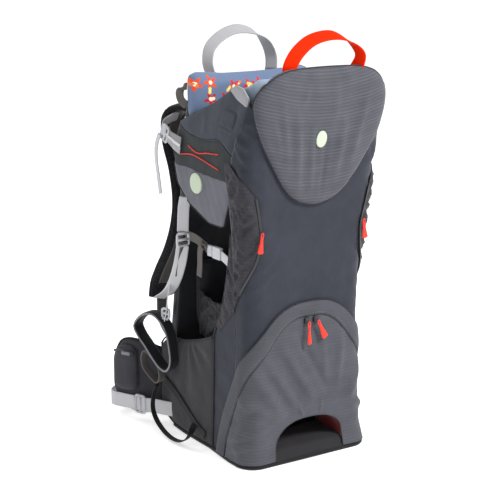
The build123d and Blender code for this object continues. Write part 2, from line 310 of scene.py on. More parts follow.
def stitches(name, path, normals):
    """Row of grey thread stitches lying on a surface."""
    dash, gap, r, lift, sides = 3.4, 2.2, 0.45, 0.3, 5
    run = lengths(path)
    verts, faces = [], []
    at, k = dash, 0
    while at + dash < run[-1]:
        ends = []
        for t in (at, at + dash):
            while k < len(run) - 2 and run[k + 1] < t:
                k += 1
            u = (t - run[k]) / max(1e-6, run[k + 1] - run[k])
            ends.append((path[k].lerp(path[k + 1], u), normals[k]))
        (a, na), (b, _) = ends
        side = (b - a).normalized().cross(na).normalized()
        base = len(verts)
        for p, s in ((a, 0.35), (a.lerp(b, 0.5), 1.0), (b, 0.35)):
            for c in range(sides):
                ang = math.tau * c / sides
                verts.append(p + na * (lift + r * s * math.sin(ang)) + side * (r * s * math.cos(ang)))
        for ring in (base, base + sides):
            for c in range(sides):
                d = (c + 1) % sides
                faces.append((ring + c, ring + d, ring + sides + d, ring + sides + c))
        at += dash + gap
    return new_mesh(name, verts, faces, "thread")


# ------------------------------------------------------------------ materials
def srgb(r, g, b):
    lin = lambda c: c / 12.92 if c <= 0.04045 else ((c + 0.055) / 1.055) ** 2.4
    return (*(lin(c / 255.0) for c in (r, g, b)), 1.0)


def shade(color, k):
    return (*(min(1.0, c * k) for c in color[:3]), 1.0)


class Graph:
    """Small helper for building one material's nodes."""

    def __init__(self, name, rough=0.8, **sockets):
        self.mat = bpy.data.materials.new(name)
        self.mat.use_nodes = True
        self.tree = self.mat.node_tree
        self.bsdf = next(n for n in self.tree.nodes if n.type == "BSDF_PRINCIPLED")
        self.bsdf.inputs["Roughness"].default_value = rough
        for key, value in sockets.items():
            self.bsdf.inputs[key.replace("_", " ")].default_value = value
        coord = self.tree.nodes.new("ShaderNodeTexCoord")
        self.uv, self.obj = coord.outputs["UV"], coord.outputs["Object"]

    def node(self, kind, inputs, **props):
        """Add a node; each of its inputs is given a value or linked to an output."""
        n = self.tree.nodes.new("ShaderNode" + kind)
        for key, value in props.items():
            setattr(n, key, value)
        for key, value in inputs.items():
            if isinstance(value, bpy.types.NodeSocket):
                self.tree.links.new(value, n.inputs[key])
            else:
                n.inputs[key].default_value = value
        return n

    def wave(self, coords, period_m, direction, distortion=0.0, detail=1.0, dscale=1.0):
        inputs = {"Scale": 0.314159 / period_m, "Distortion": distortion, "Detail": detail, "Detail Scale": dscale,
                  "Vector": coords}
        return self.node("TexWave", inputs, bands_direction=direction).outputs["Fac"]

    def noise(self, coords, size_m, detail=3.0, rough=0.55):
        return self.node("TexNoise", {"Scale": 1.0 / size_m, "Detail": detail, "Roughness": rough,
                                      "Vector": coords}).outputs["Fac"]

    def math(self, op, a, b=None):
        return self.node("Math", {0: a} if b is None else {0: a, 1: b}, operation=op).outputs[0]

    def times(self, a, b):
        return self.math("MULTIPLY", a, b)

    def ramp(self, fac, stops, step=False):
        r = self.node("ValToRGB", {"Fac": fac})
        while len(r.color_ramp.elements) < len(stops):
            r.color_ramp.elements.new(0.5)
        for e, (pos, color) in zip(r.color_ramp.elements, stops):
            e.position, e.color = pos, color
        if step:
            r.color_ramp.interpolation = "CONSTANT"
        return r.outputs["Color"]

    def mix(self, fac, a, b):
        return self.node("Mix", {0: fac, 6: a, 7: b}, data_type="RGBA").outputs[2]

    def bump(self, height, strength, distance, under=None):
        inputs = {"Strength": strength, "Distance": distance, "Height": height}
        if under is not None:
            inputs["Normal"] = under
        return self.node("Bump", inputs).outputs["Normal"]

    def finish(self, color, normal=None, rough=None):
        for key, output in (("Base Color", color), ("Normal", normal), ("Roughness", rough)):
            if output is not None:
                self.tree.links.new(output, self.bsdf.inputs[key])
        return self.mat


def fabric(name, color, weave=1.3, ripple=None, ripple_depth=0.5, crumple=0.35, uv=True, rough=0.78,
           sheen=0.10, contrast=0.18, tone=0.3):
    """Woven cloth: fine weave with painted shade between its threads, optional horizontal ripple with painted highlight
    on its raised bands, uneven colour and soft crumples.
    """
    g = Graph(name, rough, Sheen_Weight=sheen, Sheen_Roughness=0.45, Specular_IOR_Level=0.18)
    co, up = (g.uv, "Y") if uv else (g.obj, "Z")
    thread = g.math("MAXIMUM", g.wave(co, weave / 1000, "X", 0.6), g.wave(co, weave / 1000, up, 0.6))
    dye_and_painted_light = g.ramp(g.noise(g.obj, 0.045, 4.0), [(0.25, shade(color, 1 - contrast)), (0.75, shade(color, 1 + contrast))])
    dye_and_painted_light = g.mix(g.times(g.noise(co, 0.0022, 2.0), 0.35), dye_and_painted_light, shade(color, 0.55))
    # painted shade: darker where the weave is lowest, between the threads
    dye_and_painted_light = g.mix(g.times(g.math("SUBTRACT", 1.0, thread), 0.5), dye_and_painted_light, shade(color, 0.5))
    normal = g.bump(thread, 0.35, 0.0003)
    if ripple:
        bands = g.wave(co, ripple / 1000, up, 3.2, 2.0, 0.35)
        broad = g.wave(co, ripple / 210, up, 5.0, 2.0, 0.6)
        mixed = g.times(bands, g.math("ADD", g.times(broad, 0.5), 0.5))
        # painted highlight: the ripple is painted lighter where its bands stand highest, following the same height as
        # its bump
        dye_and_painted_light = g.mix(g.times(mixed, tone), dye_and_painted_light, shade(color, 1.75))
        normal = g.bump(mixed, ripple_depth, 0.0009, normal)
    return g.finish(dye_and_painted_light, g.bump(g.noise(g.obj, 0.03, 5.0, 0.6), crumple, 0.004, normal))


def spacer_mesh(name, color, under):
    """Knitted air mesh: open cells painted near-black, partly the darker layer behind and partly painted shade inside
    the cells.
    """
    g = Graph(name, 0.85, Sheen_Weight=0.08, Sheen_Roughness=0.5, Specular_IOR_Level=0.15)
    cell = g.node("TexVoronoi", {"Scale": 1.0 / 0.0042, "Randomness": 0.35, "Vector": g.obj},
                  feature="DISTANCE_TO_EDGE")
    edge = g.ramp(cell.outputs["Distance"], [(0.10, (1, 1, 1, 1)), (0.24, (0, 0, 0, 1))])
    knit = g.mix(g.times(g.wave(g.obj, 0.0011, "DIAGONAL", 1.5), 0.5), color, shade(color, 1.8))
    # the open cells take the near-black under colour, partly painted shade in the holes
    return g.finish(g.mix(edge, under, knit), g.bump(g.noise(g.obj, 0.035), 0.3, 0.003, g.bump(edge, 0.7, 0.0012)))


def webbing(name, color, sheen=0.12, spec=0.25):
    """Ribbed tape: chevron across its width, ribs along its length, with painted shade in the hollows between the ribs.
    """
    g = Graph(name, 0.62, Sheen_Weight=sheen, Sheen_Roughness=0.35, Specular_IOR_Level=spec)
    rib, cord, chevron = (g.wave(g.uv, *w) for w in ((0.0016, "Y", 0.4), (0.0024, "X", 0.3), (0.0030, "DIAGONAL", 0.5)))
    h = g.math("ADD", g.times(rib, 0.6), g.times(cord, 0.4))
    # painted shade: darker where the ribs' height is lowest
    dye_and_painted_light = g.mix(g.times(g.math("SUBTRACT", 1.0, h), 0.45), color, shade(color, 0.62))
    dye_and_painted_light = g.mix(g.times(chevron, 0.12), dye_and_painted_light, shade(color, 1.3))
    dye_and_painted_light = g.mix(g.times(g.noise(g.obj, 0.02), 0.2), dye_and_painted_light, shade(color, 0.8))
    return g.finish(dye_and_painted_light, g.bump(h, 0.5, 0.0004))


def hard(name, color, rough, tone, grain, wear, **sockets):
    """Plastic or coated metal. tone is (noise size, detail, dark, light), grain (size, bump strength, depth) and
    wear (size, share, how far below rough it starts)."""
    g = Graph(name, rough, **sockets)
    size, detail, dark, light = tone
    col = g.ramp(g.noise(g.obj, size, detail), [(0.3, shade(color, dark)), (0.7, shade(color, light))])
    scuff = g.math("ADD", g.times(g.noise(g.obj, wear[0], 4.0), wear[1]), rough - wear[2])
    return g.finish(col, g.bump(g.noise(g.obj, grain[0], 2.0), grain[1], grain[2]), scuff)


def plastic(name, color, rough=0.42):
    """Moulded buckle plastic with fine spark texture."""
    return hard(name, color, rough, (0.012, 2.0, 0.92, 1.05), (0.0006, 0.25, 0.0001), (0.004, 0.25, 0.12),
                Coat_Weight=0.08, Coat_Roughness=0.3)


def metal(name, color, rough, peel, metallic=1.0):
    """Powder-coated or brushed tube."""
    return hard(name, color, rough, (0.02, 3.0, 0.9, 1.1), (peel, 0.18, 0.0002), (0.006, 0.22, 0.1), Metallic=metallic)


def rubber(name, color):
    g = Graph(name, 0.7)
    dust = g.ramp(g.noise(g.obj, 0.01, 4.0), [(0.35, color), (0.8, shade(color, 1.9))])
    return g.finish(dust, g.bump(g.wave(g.obj, 0.006, "X"), 0.5, 0.0008))


def printed(name, ground, petals):
    """Brushed jersey with a scatter of generic flowers and leaves in warm colours. Each of petals is a layer: cell
    size in mm, petals, reach, colours and shift."""
    g = Graph(name, 0.85, Sheen_Weight=0.12, Sheen_Roughness=0.4, Specular_IOR_Level=0.2)

    def vector(op, a, b=None, scale=None):
        inputs = {0: a} if b is None else {0: a, 1: b}
        return g.node("VectorMath", inputs if scale is None else {0: a, "Scale": scale}, operation=op).outputs

    split = g.node("SeparateXYZ", {0: g.obj}).outputs
    flat = g.node("CombineXYZ", {"X": split["X"], "Y": split["Z"]}).outputs[0]
    pile = g.noise(g.obj, 0.0012, 2.0)
    col = g.mix(g.times(pile, 0.3), ground, shade(ground, 0.72))
    for size, count, reach, stops, shift in petals:
        per_cell = 1000.0 / size
        move = vector("ADD", flat, shift)[0]
        cell = g.node("TexVoronoi", {"Scale": per_cell, "Randomness": 0.55, "Vector": move},
                      voronoi_dimensions="2D").outputs
        local = vector("SUBTRACT", vector("SCALE", move, scale=per_cell)[0],
                       vector("SCALE", cell["Position"], scale=per_cell)[0])[0]
        axis = g.node("SeparateXYZ", {0: local}).outputs
        pick = g.node("SeparateColor", {0: cell["Color"]}).outputs
        angle = g.math("ADD", g.math("ARCTAN2", axis["Y"], axis["X"]), g.times(pick["Red"], 6.28))
        lobe = g.math("COSINE", g.times(angle, count))
        edge = g.times(g.math("ADD", g.times(lobe, 0.32), 0.68), reach)
        far = vector("LENGTH", local)["Value"]
        keep = g.math("GREATER_THAN", pick["Blue"], 0.22)
        hue = g.ramp(pick["Green"], stops, step=True)
        col = g.mix(g.times(g.math("LESS_THAN", far, edge), keep), col, hue)
        col = g.mix(g.times(g.math("LESS_THAN", far, reach * 0.26), keep), col, srgb(240, 225, 190))
    return g.finish(col, g.bump(g.noise(g.obj, 0.04), 0.35, 0.004, g.bump(pile, 0.35, 0.0005)))


SLATE = srgb(47, 50, 59)
RIPPLE = srgb(70, 71, 77)
# tone is the strength of the painted highlight on the ripple's raised bands
M = {
    "slate": fabric("slate_cloth", SLATE, 1.2, crumple=0.38),
    "wing_slate": fabric("wing_upper_cloth", shade(SLATE, 1.35), 1.2, crumple=0.4),
    "ripple": fabric("ripple_cloth", shade(RIPPLE, 1.05), 1.2, 6.0, crumple=0.22, tone=0.40),
    "ripple_soft": fabric("ripple_pocket_cloth", shade(RIPPLE, 1.06), 1.2, 6.0, 0.3, 0.3, tone=0.17),
    "ripple_band": fabric("ripple_band_cloth", shade(RIPPLE, 1.0), 1.2, 6.0, 0.2, tone=0.10),
    "ripple_wing": fabric("wing_patch_cloth", shade(RIPPLE, 1.75), 1.2, 4.6, 0.4, tone=0.36),
    "stretch": fabric("stretch_cloth", srgb(46, 44, 48), 0.9, crumple=0.25, sheen=0.15),
    "stretch_trim": fabric("stretch_hem", srgb(36, 35, 38), 0.9, crumple=0.1),
    "stretch_dark": fabric("base_cloth", srgb(32, 32, 35), 1.0),
    "gusset": fabric("gusset_cloth", srgb(50, 49, 54), 1.2, 6.5, 0.3, 0.6, tone=0.16),
    "black": fabric("black_cloth", srgb(22, 23, 28), 1.2, uv=False, crumple=0.5, sheen=0.12, rough=0.6),
    "nylon": fabric("black_nylon", srgb(16, 17, 22), 1.0, uv=False, crumple=0.7, sheen=0.05, rough=0.38),
    "fin": fabric("belt_cloth", srgb(54, 54, 60), 1.2, uv=False, crumple=0.3),
    "fin_side": fabric("wing_cloth", srgb(42, 46, 49), 1.1, crumple=0.2),
    "red": fabric("slot_cloth", srgb(88, 20, 22), 1.2, crumple=0.4, rough=0.6),
    "liner": fabric("liner_cloth", srgb(146, 163, 180), 1.0, uv=False, contrast=0.08),
    "badge": fabric("badge_cloth", srgb(188, 200, 178), 0.8, crumple=0.1, contrast=0.06),
    "patch": fabric("tab_cloth", srgb(150, 150, 154), 1.0, crumple=0.2, contrast=0.08),
    # the second colour is the near-black of the open cells, partly painted shade
    "mesh": spacer_mesh("air_mesh", srgb(30, 31, 35), srgb(9, 9, 11)),
    "binding": fabric("binding_tape", srgb(20, 20, 23), 0.9, crumple=0.1, rough=0.65),
    "piping": fabric("piping_cord", srgb(38, 39, 47), 0.9, crumple=0.05, rough=0.6),
    "piping_mid": fabric("piping_cord_mid", srgb(66, 67, 73), 0.9, crumple=0.05),
    "piping_grey": fabric("piping_cord_grey", srgb(128, 128, 133), 0.9, crumple=0.05, rough=0.6),
    "web_grey": webbing("grey_webbing", srgb(186, 186, 190)),
    "web_light": webbing("light_webbing", srgb(196, 196, 199)),
    "web_handle": webbing("handle_webbing", srgb(160, 160, 163)),
    "web_taupe": webbing("taupe_webbing", srgb(88, 84, 82)),
    "web_black": webbing("black_webbing", srgb(24, 24, 26)),
    "web_orange": webbing("orange_webbing", srgb(222, 38, 0), sheen=0.0, spec=0.05),
    "buckle": plastic("buckle_plastic", srgb(172, 173, 178)),
    "black_plastic": plastic("black_plastic", srgb(30, 30, 33)),
    "pull": plastic("pull_moulding", srgb(236, 36, 2), 0.6),
    "tube": metal("coated_tube", srgb(44, 45, 49), 0.42, 0.0009, metallic=0.4),
    "steel": metal("pin_steel", srgb(190, 190, 194), 0.3, 0.0004),
    "zip": plastic("zip_teeth", srgb(26, 27, 31), 0.5),
    "rubber": rubber("grip_rubber", srgb(26, 26, 27)),
    "thread": fabric("thread_grey", srgb(120, 121, 128), 0.6, crumple=0.0),
    "thread_red": fabric("thread_red", srgb(214, 62, 48), 0.6, crumple=0.0),
    "print": printed("printed_jersey", srgb(98, 114, 142), [
        (34.0, 5.0, 0.40, [(0.0, srgb(196, 40, 52)), (0.4, srgb(214, 74, 40)), (0.75, srgb(178, 34, 58))], (0, 0, 0)),
        (30.0, 2.0, 0.22, [(0.0, srgb(222, 196, 92)), (0.5, srgb(206, 110, 64)), (0.8, srgb(232, 222, 190))],
         (0.0171, 0.0133, 0)),
    ]),
}


# ------------------------------------------------------------------ sewn panels and pads
def edge_distance(pts, line):
    """Distance of each 2D point from a closed line."""
    best = np.full(len(pts), 1e9)
    for p, q in zip(line, np.roll(line, -1, 0)):
        d = q - p
        t = np.clip(((pts - p) @ d) / max(1e-9, d @ d), 0, 1)
        best = np.minimum(best, np.hypot(*(pts - p - t[:, None] * d).T))
    return best


def within(pts, line):
    hit = np.zeros(len(pts), bool)
    for p, q in zip(line, np.roll(line, -1, 0)):
        cross = (p[1] > pts[:, 1]) != (q[1] > pts[:, 1])
        rise = q[1] - p[1]
        x = p[0] + (pts[:, 1] - p[1]) * (q[0] - p[0]) / (rise if abs(rise) > 1e-9 else 1e-9)
        hit ^= cross & (pts[:, 0] < x)
    return hit


def outline(points, step=4.0, rounded=0.0, smooth=False):
    """Closed 2D outline with points about `step` apart; corners are rounded off, or the whole line is smooth."""
    pts = [Vector((a, b, 0)) for a, b in points]
    ring = smooth_path(pts, step / 2, closed=True) if smooth else []
    for i, p in enumerate([] if smooth else pts):
        a, b = pts[i - 1] - p, pts[(i + 1) % len(pts)] - p
        r = min(rounded, a.length * 0.45, b.length * 0.45)
        if r < 0.3:
            ring.append(p)
            continue
        start, end = p + a.normalized() * r, p + b.normalized() * r
        for u in (k / 6 for k in range(7)):
            ring.append(start * (1 - u) ** 2 + p * (2 * u * (1 - u)) + end * u * u)
    total = lengths(ring, True)[-1]
    return [(p.x, p.y) for p in even(ring, max(8, round(total / step)), True)]


def oval(x, z, wide, tall, step):
    turns = [k / 12 * math.tau for k in range(12)]
    return outline([(x + wide * math.cos(t), z + tall * math.sin(t)) for t in turns], step, smooth=True)


def puff(d, height, run):
    """Rounded swell of a stuffed panel, from nothing at its sewn edge."""
    t = np.clip(1 - d / run, 0, 1)
    return height * np.sqrt(1 - t * t)


def soft(d, run):
    """Share that grows from 0 at the sewn edge to 1 at run mm inside it."""
    return np.clip(d / run, 0, 1)


def level(height):
    return lambda A, B, D: height + 0 * D


def noise_at(A, B, scale, seed):
    return np.array([noise.noise(Vector((a / scale + seed, b / scale - seed, seed))) for a, b in zip(A, B)])


def panel(name, ring, to3d, front, back, material, step):
    """Closed pad over a closed outline. front(A, B, D) and back(A, B, D) are its heights at the points (A, B), which
    lie D inside the edge."""
    line = np.array(ring, float)
    lo, hi = line.min(0), line.max(0)
    rows = []
    for j, b in enumerate(np.arange(lo[1], hi[1], step * 0.87)):
        rows += [(a, b) for a in np.arange(lo[0] + (j % 2) * step / 2, hi[0], step)]
    pts = np.array(rows)
    pts = pts[within(pts, line)]
    pts = pts[edge_distance(pts, line) > step * 0.55]
    flat = [Vector((a, b)) for a, b in ring] + [Vector((a, b)) for a, b in pts]
    n = len(ring)
    verts, edges, faces = delaunay_2d_cdt(flat, [(i, (i + 1) % n) for i in range(n)], [list(range(n))], 1, 1e-4)[:3]
    ab = np.array([(v.x, v.y) for v in verts])
    D = edge_distance(ab, line)
    D[D < 1e-3] = 0
    m = len(ab)
    pos = [to3d(a, b, h) for side in (front, back) for (a, b), h in zip(ab, side(ab[:, 0], ab[:, 1], D))]
    uvs = [tuple(p) for p in ab] * 2
    shells = [tuple(f) for f in faces] + [tuple(i + m for i in reversed(f)) for f in faces]
    seen = dict.fromkeys(pair for f in faces for pair in zip(f, list(f[1:]) + [f[0]]))
    walls = [(j, i, i + m, j + m) for i, j in seen if (j, i) not in seen]
    obj = fix_normals(new_mesh(name, pos, shells + walls, material, uvs))
    obj.data.set_sharp_from_angle(angle=math.radians(55))
    return obj


def mirrored(obj, name):
    """The same piece on the other side of the bag."""
    twin = add_object(name, obj.data.copy())
    twin.data.transform(Matrix.Scale(-1, 4, (1, 0, 0)))
    twin.data.flip_normals()
    return twin


def put(obj, body, slot, *nodes, pads=None, squash=None):
    """Place a piece: hide the nodes it replaces and, when body is one name, hang it from that body's empty; when body
    is two bodies and two points, it is only fixed in place, not blended between them.
    Its slot is not used. Its padding is not used. squash, given as joint, anchor and share, only gives it its own copy
    of its mesh; it is not squashed."""
    if nodes:
        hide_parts(*nodes)
    if isinstance(body, str):
        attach(obj, body)
    else:
        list(body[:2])
        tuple(body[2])
        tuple(body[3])
        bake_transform(obj)
    if squash:
        joint, anchor, keep = squash
        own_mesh(obj)
        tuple(anchor)


def both(obj, body, slot, *nodes, pads=None, squash=None):
    """Make the right-hand twin of a left-hand piece and pass both to put; SIDE in a name stands for left or right."""
    twin = mirrored(obj, obj.name.replace("_left", "_right"))
    for one, side in ((obj, "left"), (twin, "right")):
        fill = lambda text: text.replace("SIDE", side)
        put(one, fill(body) if isinstance(body, str) else body, slot,
            *(fill(n) for n in nodes if "SIDE" in n or side == "left"), pads=pads,
            squash=squash and (fill(squash[0]), *squash[1:]))


def inflate(obj, voxel, pressure, cap, frames):
    """Let a stuffed piece swell and crease by a short cloth simulation, keeping every point within cap mm."""
    material = obj.data.materials[0]
    mod = obj.modifiers.new("remesh", "REMESH")
    mod.mode, mod.voxel_size, mod.use_smooth_shade = "VOXEL", voxel / 1000.0, True
    apply_all(obj)
    start = [v.co.copy() for v in obj.data.vertices]
    cloth = obj.modifiers.new("cloth", "CLOTH")
    for key, value in {"quality": 6, "mass": 0.3, "use_pressure": True, "uniform_pressure_force": pressure,
                       "tension_stiffness": 15.0, "compression_stiffness": 15.0, "shear_stiffness": 5,
                       "bending_stiffness": 0.6}.items():
        setattr(cloth.settings, key, value)
    cloth.settings.effector_weights.gravity = 0.0
    cloth.collision_settings.use_collision = False
    cloth.point_cache.frame_start, cloth.point_cache.frame_end = 1, frames
    for k in range(1, frames + 1):
        bpy.context.scene.frame_set(k)
    apply_all(obj)
    bpy.context.scene.frame_set(1)
    for v, p in zip(obj.data.vertices, start):
        move = v.co - p
        if move.length > cap / 1000.0:
            v.co = p + move.normalized() * cap / 1000.0
    with editing(obj) as bm:
        for _ in range(2):
            bmesh.ops.smooth_vert(bm, verts=bm.verts, factor=0.35, use_axis_x=True, use_axis_y=True, use_axis_z=True)
    sub = obj.modifiers.new("sub", "SUBSURF")
    sub.levels = sub.render_levels = 1
    apply_all(obj)
    if not obj.data.materials:
        obj.data.materials.append(material)
    obj.data.polygons.foreach_set("use_smooth", [True] * len(obj.data.polygons))


# ------------------------------------------------------------------ the bag's outer surface
# Tables by height of the outer skin: half width, depth and corner radius of its U-shaped section.
HALF = [(2, 138), (14, 136), (50, 130.5), (150, 127.5), (250, 127.5), (350, 129), (430, 132.5), (500, 140),
        (560, 147), (610, 150.5), (660, 152), (700, 151.5), (735, 148)]
DEEP = [(2, 153.5), (14, 152), (50, 147), (150, 146), (250, 146.5), (350, 149), (430, 153.5), (500, 162),
        (560, 170), (600, 176), (660, 185), (700, 189), (735, 190)]
ROUND = [(2, 34), (250, 34), (450, 34), (560, 42), (735, 48)]
SEAM_Y = [(0, -24), (217, -29), (248, -37), (303, -60), (380, -80), (432, -92), (500, -98)]
JOIN_Y = -97.0      # where the cloth carried by the kickstand meets the side panels
HINGE_BLEND = ("kickstand", "frame", P(0, -95, 462), P(0, -95, 540))
SIDE_BLEND = ("kickstand", "frame", P(0, -95, 30), P(0, 150, 30))


def section(z):
    return curve_at(HALF, z), curve_at(DEEP, z), curve_at(ROUND, z)


def skin(s, z, lift=0.0):
    """Point on the outer skin: s is the distance round the section from the middle of the rear face."""
    w, d, r = section(z)
    side, a = (1 if s >= 0 else -1), abs(s)
    flat, arc = w - r, r * math.pi / 2
    if a < flat:
        x, y, nx, ny = a, -d, 0.0, -1.0
    elif a < flat + arc:
        t = (a - flat) / r
        x, y, nx, ny = flat + r * math.sin(t), -d + r - r * math.cos(t), math.sin(t), -math.cos(t)
    else:
        x, y, nx, ny = w, -d + r + (a - flat - arc), 1.0, 0.0
    return Vector((side * (x + nx * lift), y + ny * lift, z))


def skin_normal(s, z):
    return (skin(s, z, 5.0) - skin(s, z)).normalized()


def s_of_side(y, z):
    """Distance round the section of a point on the side face."""
    w, d, r = section(z)
    return w - r + r * math.pi / 2 + (y + d - r)


def crease(a, b, size, seed):
    """Sharp-backed fold lines between soft hollows, -0.5 to 0.5."""
    return 0.5 - abs(wobble((a, b, 0), size, seed)) * 2.0


def ridge(s, z, start, end, width, height):
    """One sewn-in fold that runs from start to end, given as (s, z), and dies away at both ends."""
    dx, dz = end[0] - start[0], end[1] - start[1]
    run = math.hypot(dx, dz)
    t = ((s - start[0]) * dx + (z - start[1]) * dz) / run ** 2
    if not -0.1 < t < 1.1:
        return 0.0
    off = ((s - start[0]) * dz - (z - start[1]) * dx) / run
    return height * math.sin(math.pi * clamp(t)) ** 0.7 * math.exp(-(off / width) ** 2)


def drape(s, z):
    """How far loosely sewn cloth stands off its pattern: broad swags and fine puckers."""
    p = skin(s, z)
    swell = 1.9 * wobble(p, 70, 3.1) + 0.9 * wobble(p, 26, 1.7)
    pucker = 0.4 * wobble((p.x, p.y, p.z * 2.2), 11, 5.3)
    corner = math.exp(-((abs(s) - 150) / 42) ** 2) * math.exp(-((z - 590) / 75) ** 2)
    pull_lines = 7.0 * crease(s * 0.55 + z * 0.5, z * 0.35 - s * 0.2, 17, 2.0) * corner
    waist = 3.2 * crease(s * 0.5, z * 0.9 + abs(s) * 0.5, 26, 6.0) * math.exp(-((abs(s) - 105) / 36) ** 2)
    return swell + pucker + pull_lines + waist * math.exp(-((z - 400) / 110) ** 2)


SHELL_FOOT, SHELL_PEAK = 7, 722
SHELL_TOP = [(0, 722), (70, 721), (96, 716), (112, 707), (124, 697), (136, 684), (145, 670), (220, 664)]
SHELL_FRONT = [(500, -99), (560, -112), (600, -128), (640, -148), (680, -163), (722, -170)]


def shell_point(u, v):
    z = SHELL_FOOT + v * (SHELL_PEAK - SHELL_FOOT)
    s = (2 * u - 1) * s_of_side(JOIN_Y if z < 500 else curve_at(SHELL_FRONT, z), z)
    rise = clamp((z - 560) / 162)
    z -= (SHELL_PEAK - curve_at(SHELL_TOP, abs(s))) * rise * rise
    side = max(0.0, abs(s) - 60) / 90
    return skin(s, z, -1.2 + (0.5 + 0.5 * min(1.0, side)) * drape(s, z))


SLOT_HALF, SLOT_TOP = 76.0, 80.0
SPRING_LEFT, SPRING_RIGHT = 20.0, 38.0      # the loose cloth hangs lower over the left side of the slot


def in_slot(p):
    """Inside the hole cut for the foot slot's arch, which is 4 mm wider than the arch."""
    half, top, spring = SLOT_HALF + 4, SLOT_TOP + 4, SPRING_LEFT if p.x < 0 else SPRING_RIGHT
    if p.y > -120 or abs(p.x) >= half:
        return False
    return p.z < spring or (p.z - spring) / (top - spring) < (1 - (abs(p.x) / half) ** 2.4) ** (1 / 1.9)


shell = grid("shell_cloth", shell_point, 96, 170, "slate", (420, 710))
with editing(shell) as bm:
    bmesh.ops.delete(bm, geom=[f for f in bm.faces if in_slot(bag(f.calc_center_median()))], context="FACES")
thicken(fix_normals(shell), 1.6)
put(shell, HINGE_BLEND, "slate", "outer_panel_upper", "outer_panel_lower")

# ------------------------------------------------------------------ gussets: ripple cloth down both rear corners
GUSSET_FRONT = [(239, -45), (286, -88), (349, -128), (401, -153), (447, -162), (502, -163), (533, -147), (569, -108)]
GUSSET_FOOT, GUSSET_TALL = 290, 276


def gusset_edge(z):
    """Distance round the section of the gusset's curved front seam."""
    return s_of_side(curve_at(GUSSET_FRONT, z), z)


def gusset_sheet(name, side):
    def place(u, v):
        z = GUSSET_FOOT + v * GUSSET_TALL
        near, far = s_of_side(JOIN_Y - 0.5, z), gusset_edge(z)
        s = near + (far - near) * u
        belly = math.sin(math.pi * u) * math.sin(math.pi * v)
        inside = min(1.0, 6 * u, 6 * (1 - u), 8 * v, 8 * (1 - v))
        fold = 6.0 * crease(z * 0.8 + s * 0.9, z * 0.3 - s * 0.5, 20, 4.4) + 2.6 * crease(z - s, s * 0.6, 11, 8.1)
        return skin(side * s, z, 2.2 + 2.0 * belly + (fold + 1.6) * inside)
    return grid(name, place, 26, 80, "gusset", (80, GUSSET_TALL))


for side, name in SIDES:
    put(thicken(gusset_sheet("gusset_cloth_" + name, side), 1.2), HINGE_BLEND, "ripple_grey", "gusset_" + name)
    edge = [skin(side * gusset_edge(z), z, 1.6) for z in [GUSSET_FOOT + GUSSET_TALL * k / 90 for k in range(91)]]
    put(piping("gusset_piping_" + name, edge, 1.3, "piping"), HINGE_BLEND, "slate")

# ------------------------------------------------------------------ rear pocket
ARCH = [(0, 304), (26, 303), (52, 296), (78, 280), (99, 258), (122, 228), (148, 190), (170, 146), (188, 110),
        (202, 77), (215, 40), (226, 9)]
BAND_POINTS, TRIM_POINTS = 161, 220


def arch_line(count, inset=0.0):
    """Pocket outline as (s, z), from its left foot over the top to its right foot."""
    half = flat_path(ARCH)
    pts = even([Vector((-p.x, p.y, 0)) for p in reversed(half)] + half[1:], count)
    inward = [tangent(pts, i) for i in range(count)]
    return [(p.x + t.y * inset, max(8.0, p.y - t.x * inset)) for p, t in zip(pts, inward)]


def slot_line(count, grow=0.0):
    """Foot slot outline as (s, z)."""
    half, top = SLOT_HALF + grow, SLOT_TOP + grow
    rim = []
    for side, spring in ((-1, SPRING_LEFT), (1, SPRING_RIGHT)):
        foot = [Vector((side * (half + 2 * (1 - k / 8)), 9 + (spring - 9) * k / 8, 0)) for k in range(8)]
        for k in range(21 if side < 0 else 20):
            c, s = math.cos(math.pi * k / 40), math.sin(math.pi * k / 40)
            foot.append(Vector((side * c ** 0.83 * half, spring + (top - spring) * s ** 0.86, 0)))
        rim += foot if side < 0 else list(reversed(foot))
    return [(p.x, p.y) for p in even(rim, count)]


def band_sheet(name, inner, outer, rows, material, lift):
    """Cloth between two outlines given in (s, z); lift(s, z, u, v) is how far it stands off the skin."""
    last = len(inner) - 1

    def spot(u, v):
        (s0, z0), (s1, z1) = inner[round(u * last)], outer[round(u * last)]
        return s0 + (s1 - s0) * v, z0 + (z1 - z0) * v

    return grid(name, lambda u, v: skin(*spot(u, v), lift(*spot(u, v), u, v)), last, rows, material, spot)


# loose folds across the pocket: start, end, half width, height
POCKET_FOLDS = [((-70, 236), (14, 106), 10, 8.0), ((-98, 206), (-22, 94), 9, 7.5), ((-30, 254), (48, 116), 8, -5.0),
                ((-122, 186), (-54, 84), 10, 6.0), ((-186, 36), (-66, 90), 7, 5.5), ((-192, 20), (-82, 56), 6, 4.5),
                ((-172, 66), (-92, 124), 9, -4.0), ((74, 240), (62, 116), 9, 5.0), ((122, 180), (84, 84), 10, 5.5),
                ((176, 60), (90, 96), 8, 5.0), ((-26, 110), (-12, 82), 3.5, 3.2), ((30, 110), (26, 82), 3.5, 3.0),
                ((-150, 130), (-84, 96), 7, 4.0), ((30, 240), (36, 150), 7, 3.0)]


def pocket_lift(s, z, u, v):
    """Slack in the pocket cloth: radiating folds from the slot and a darted band above it."""
    edge = math.sin(math.pi * v)
    low = max(0.0, 1 - z / 150.0)
    radial = 1.2 * math.sin(u * 31 + 1.7 * wobble((s, z, 0), 60, 2.0)) * low * edge
    broad = 1.8 * wobble((s, z, 0), 60, 8.0) * edge + 1.4 * crease(s * 0.8, z, 30, 6.0) * edge
    dart = -2.4 * math.exp(-((z - 108 + 0.0026 * (s - 30) ** 2) / 2.4) ** 2) * max(0.0, 1 - abs(s - 20) / 78)
    return 3.0 + 2.2 * edge + radial + broad + dart + sum(ridge(s, z, *fold) for fold in POCKET_FOLDS)


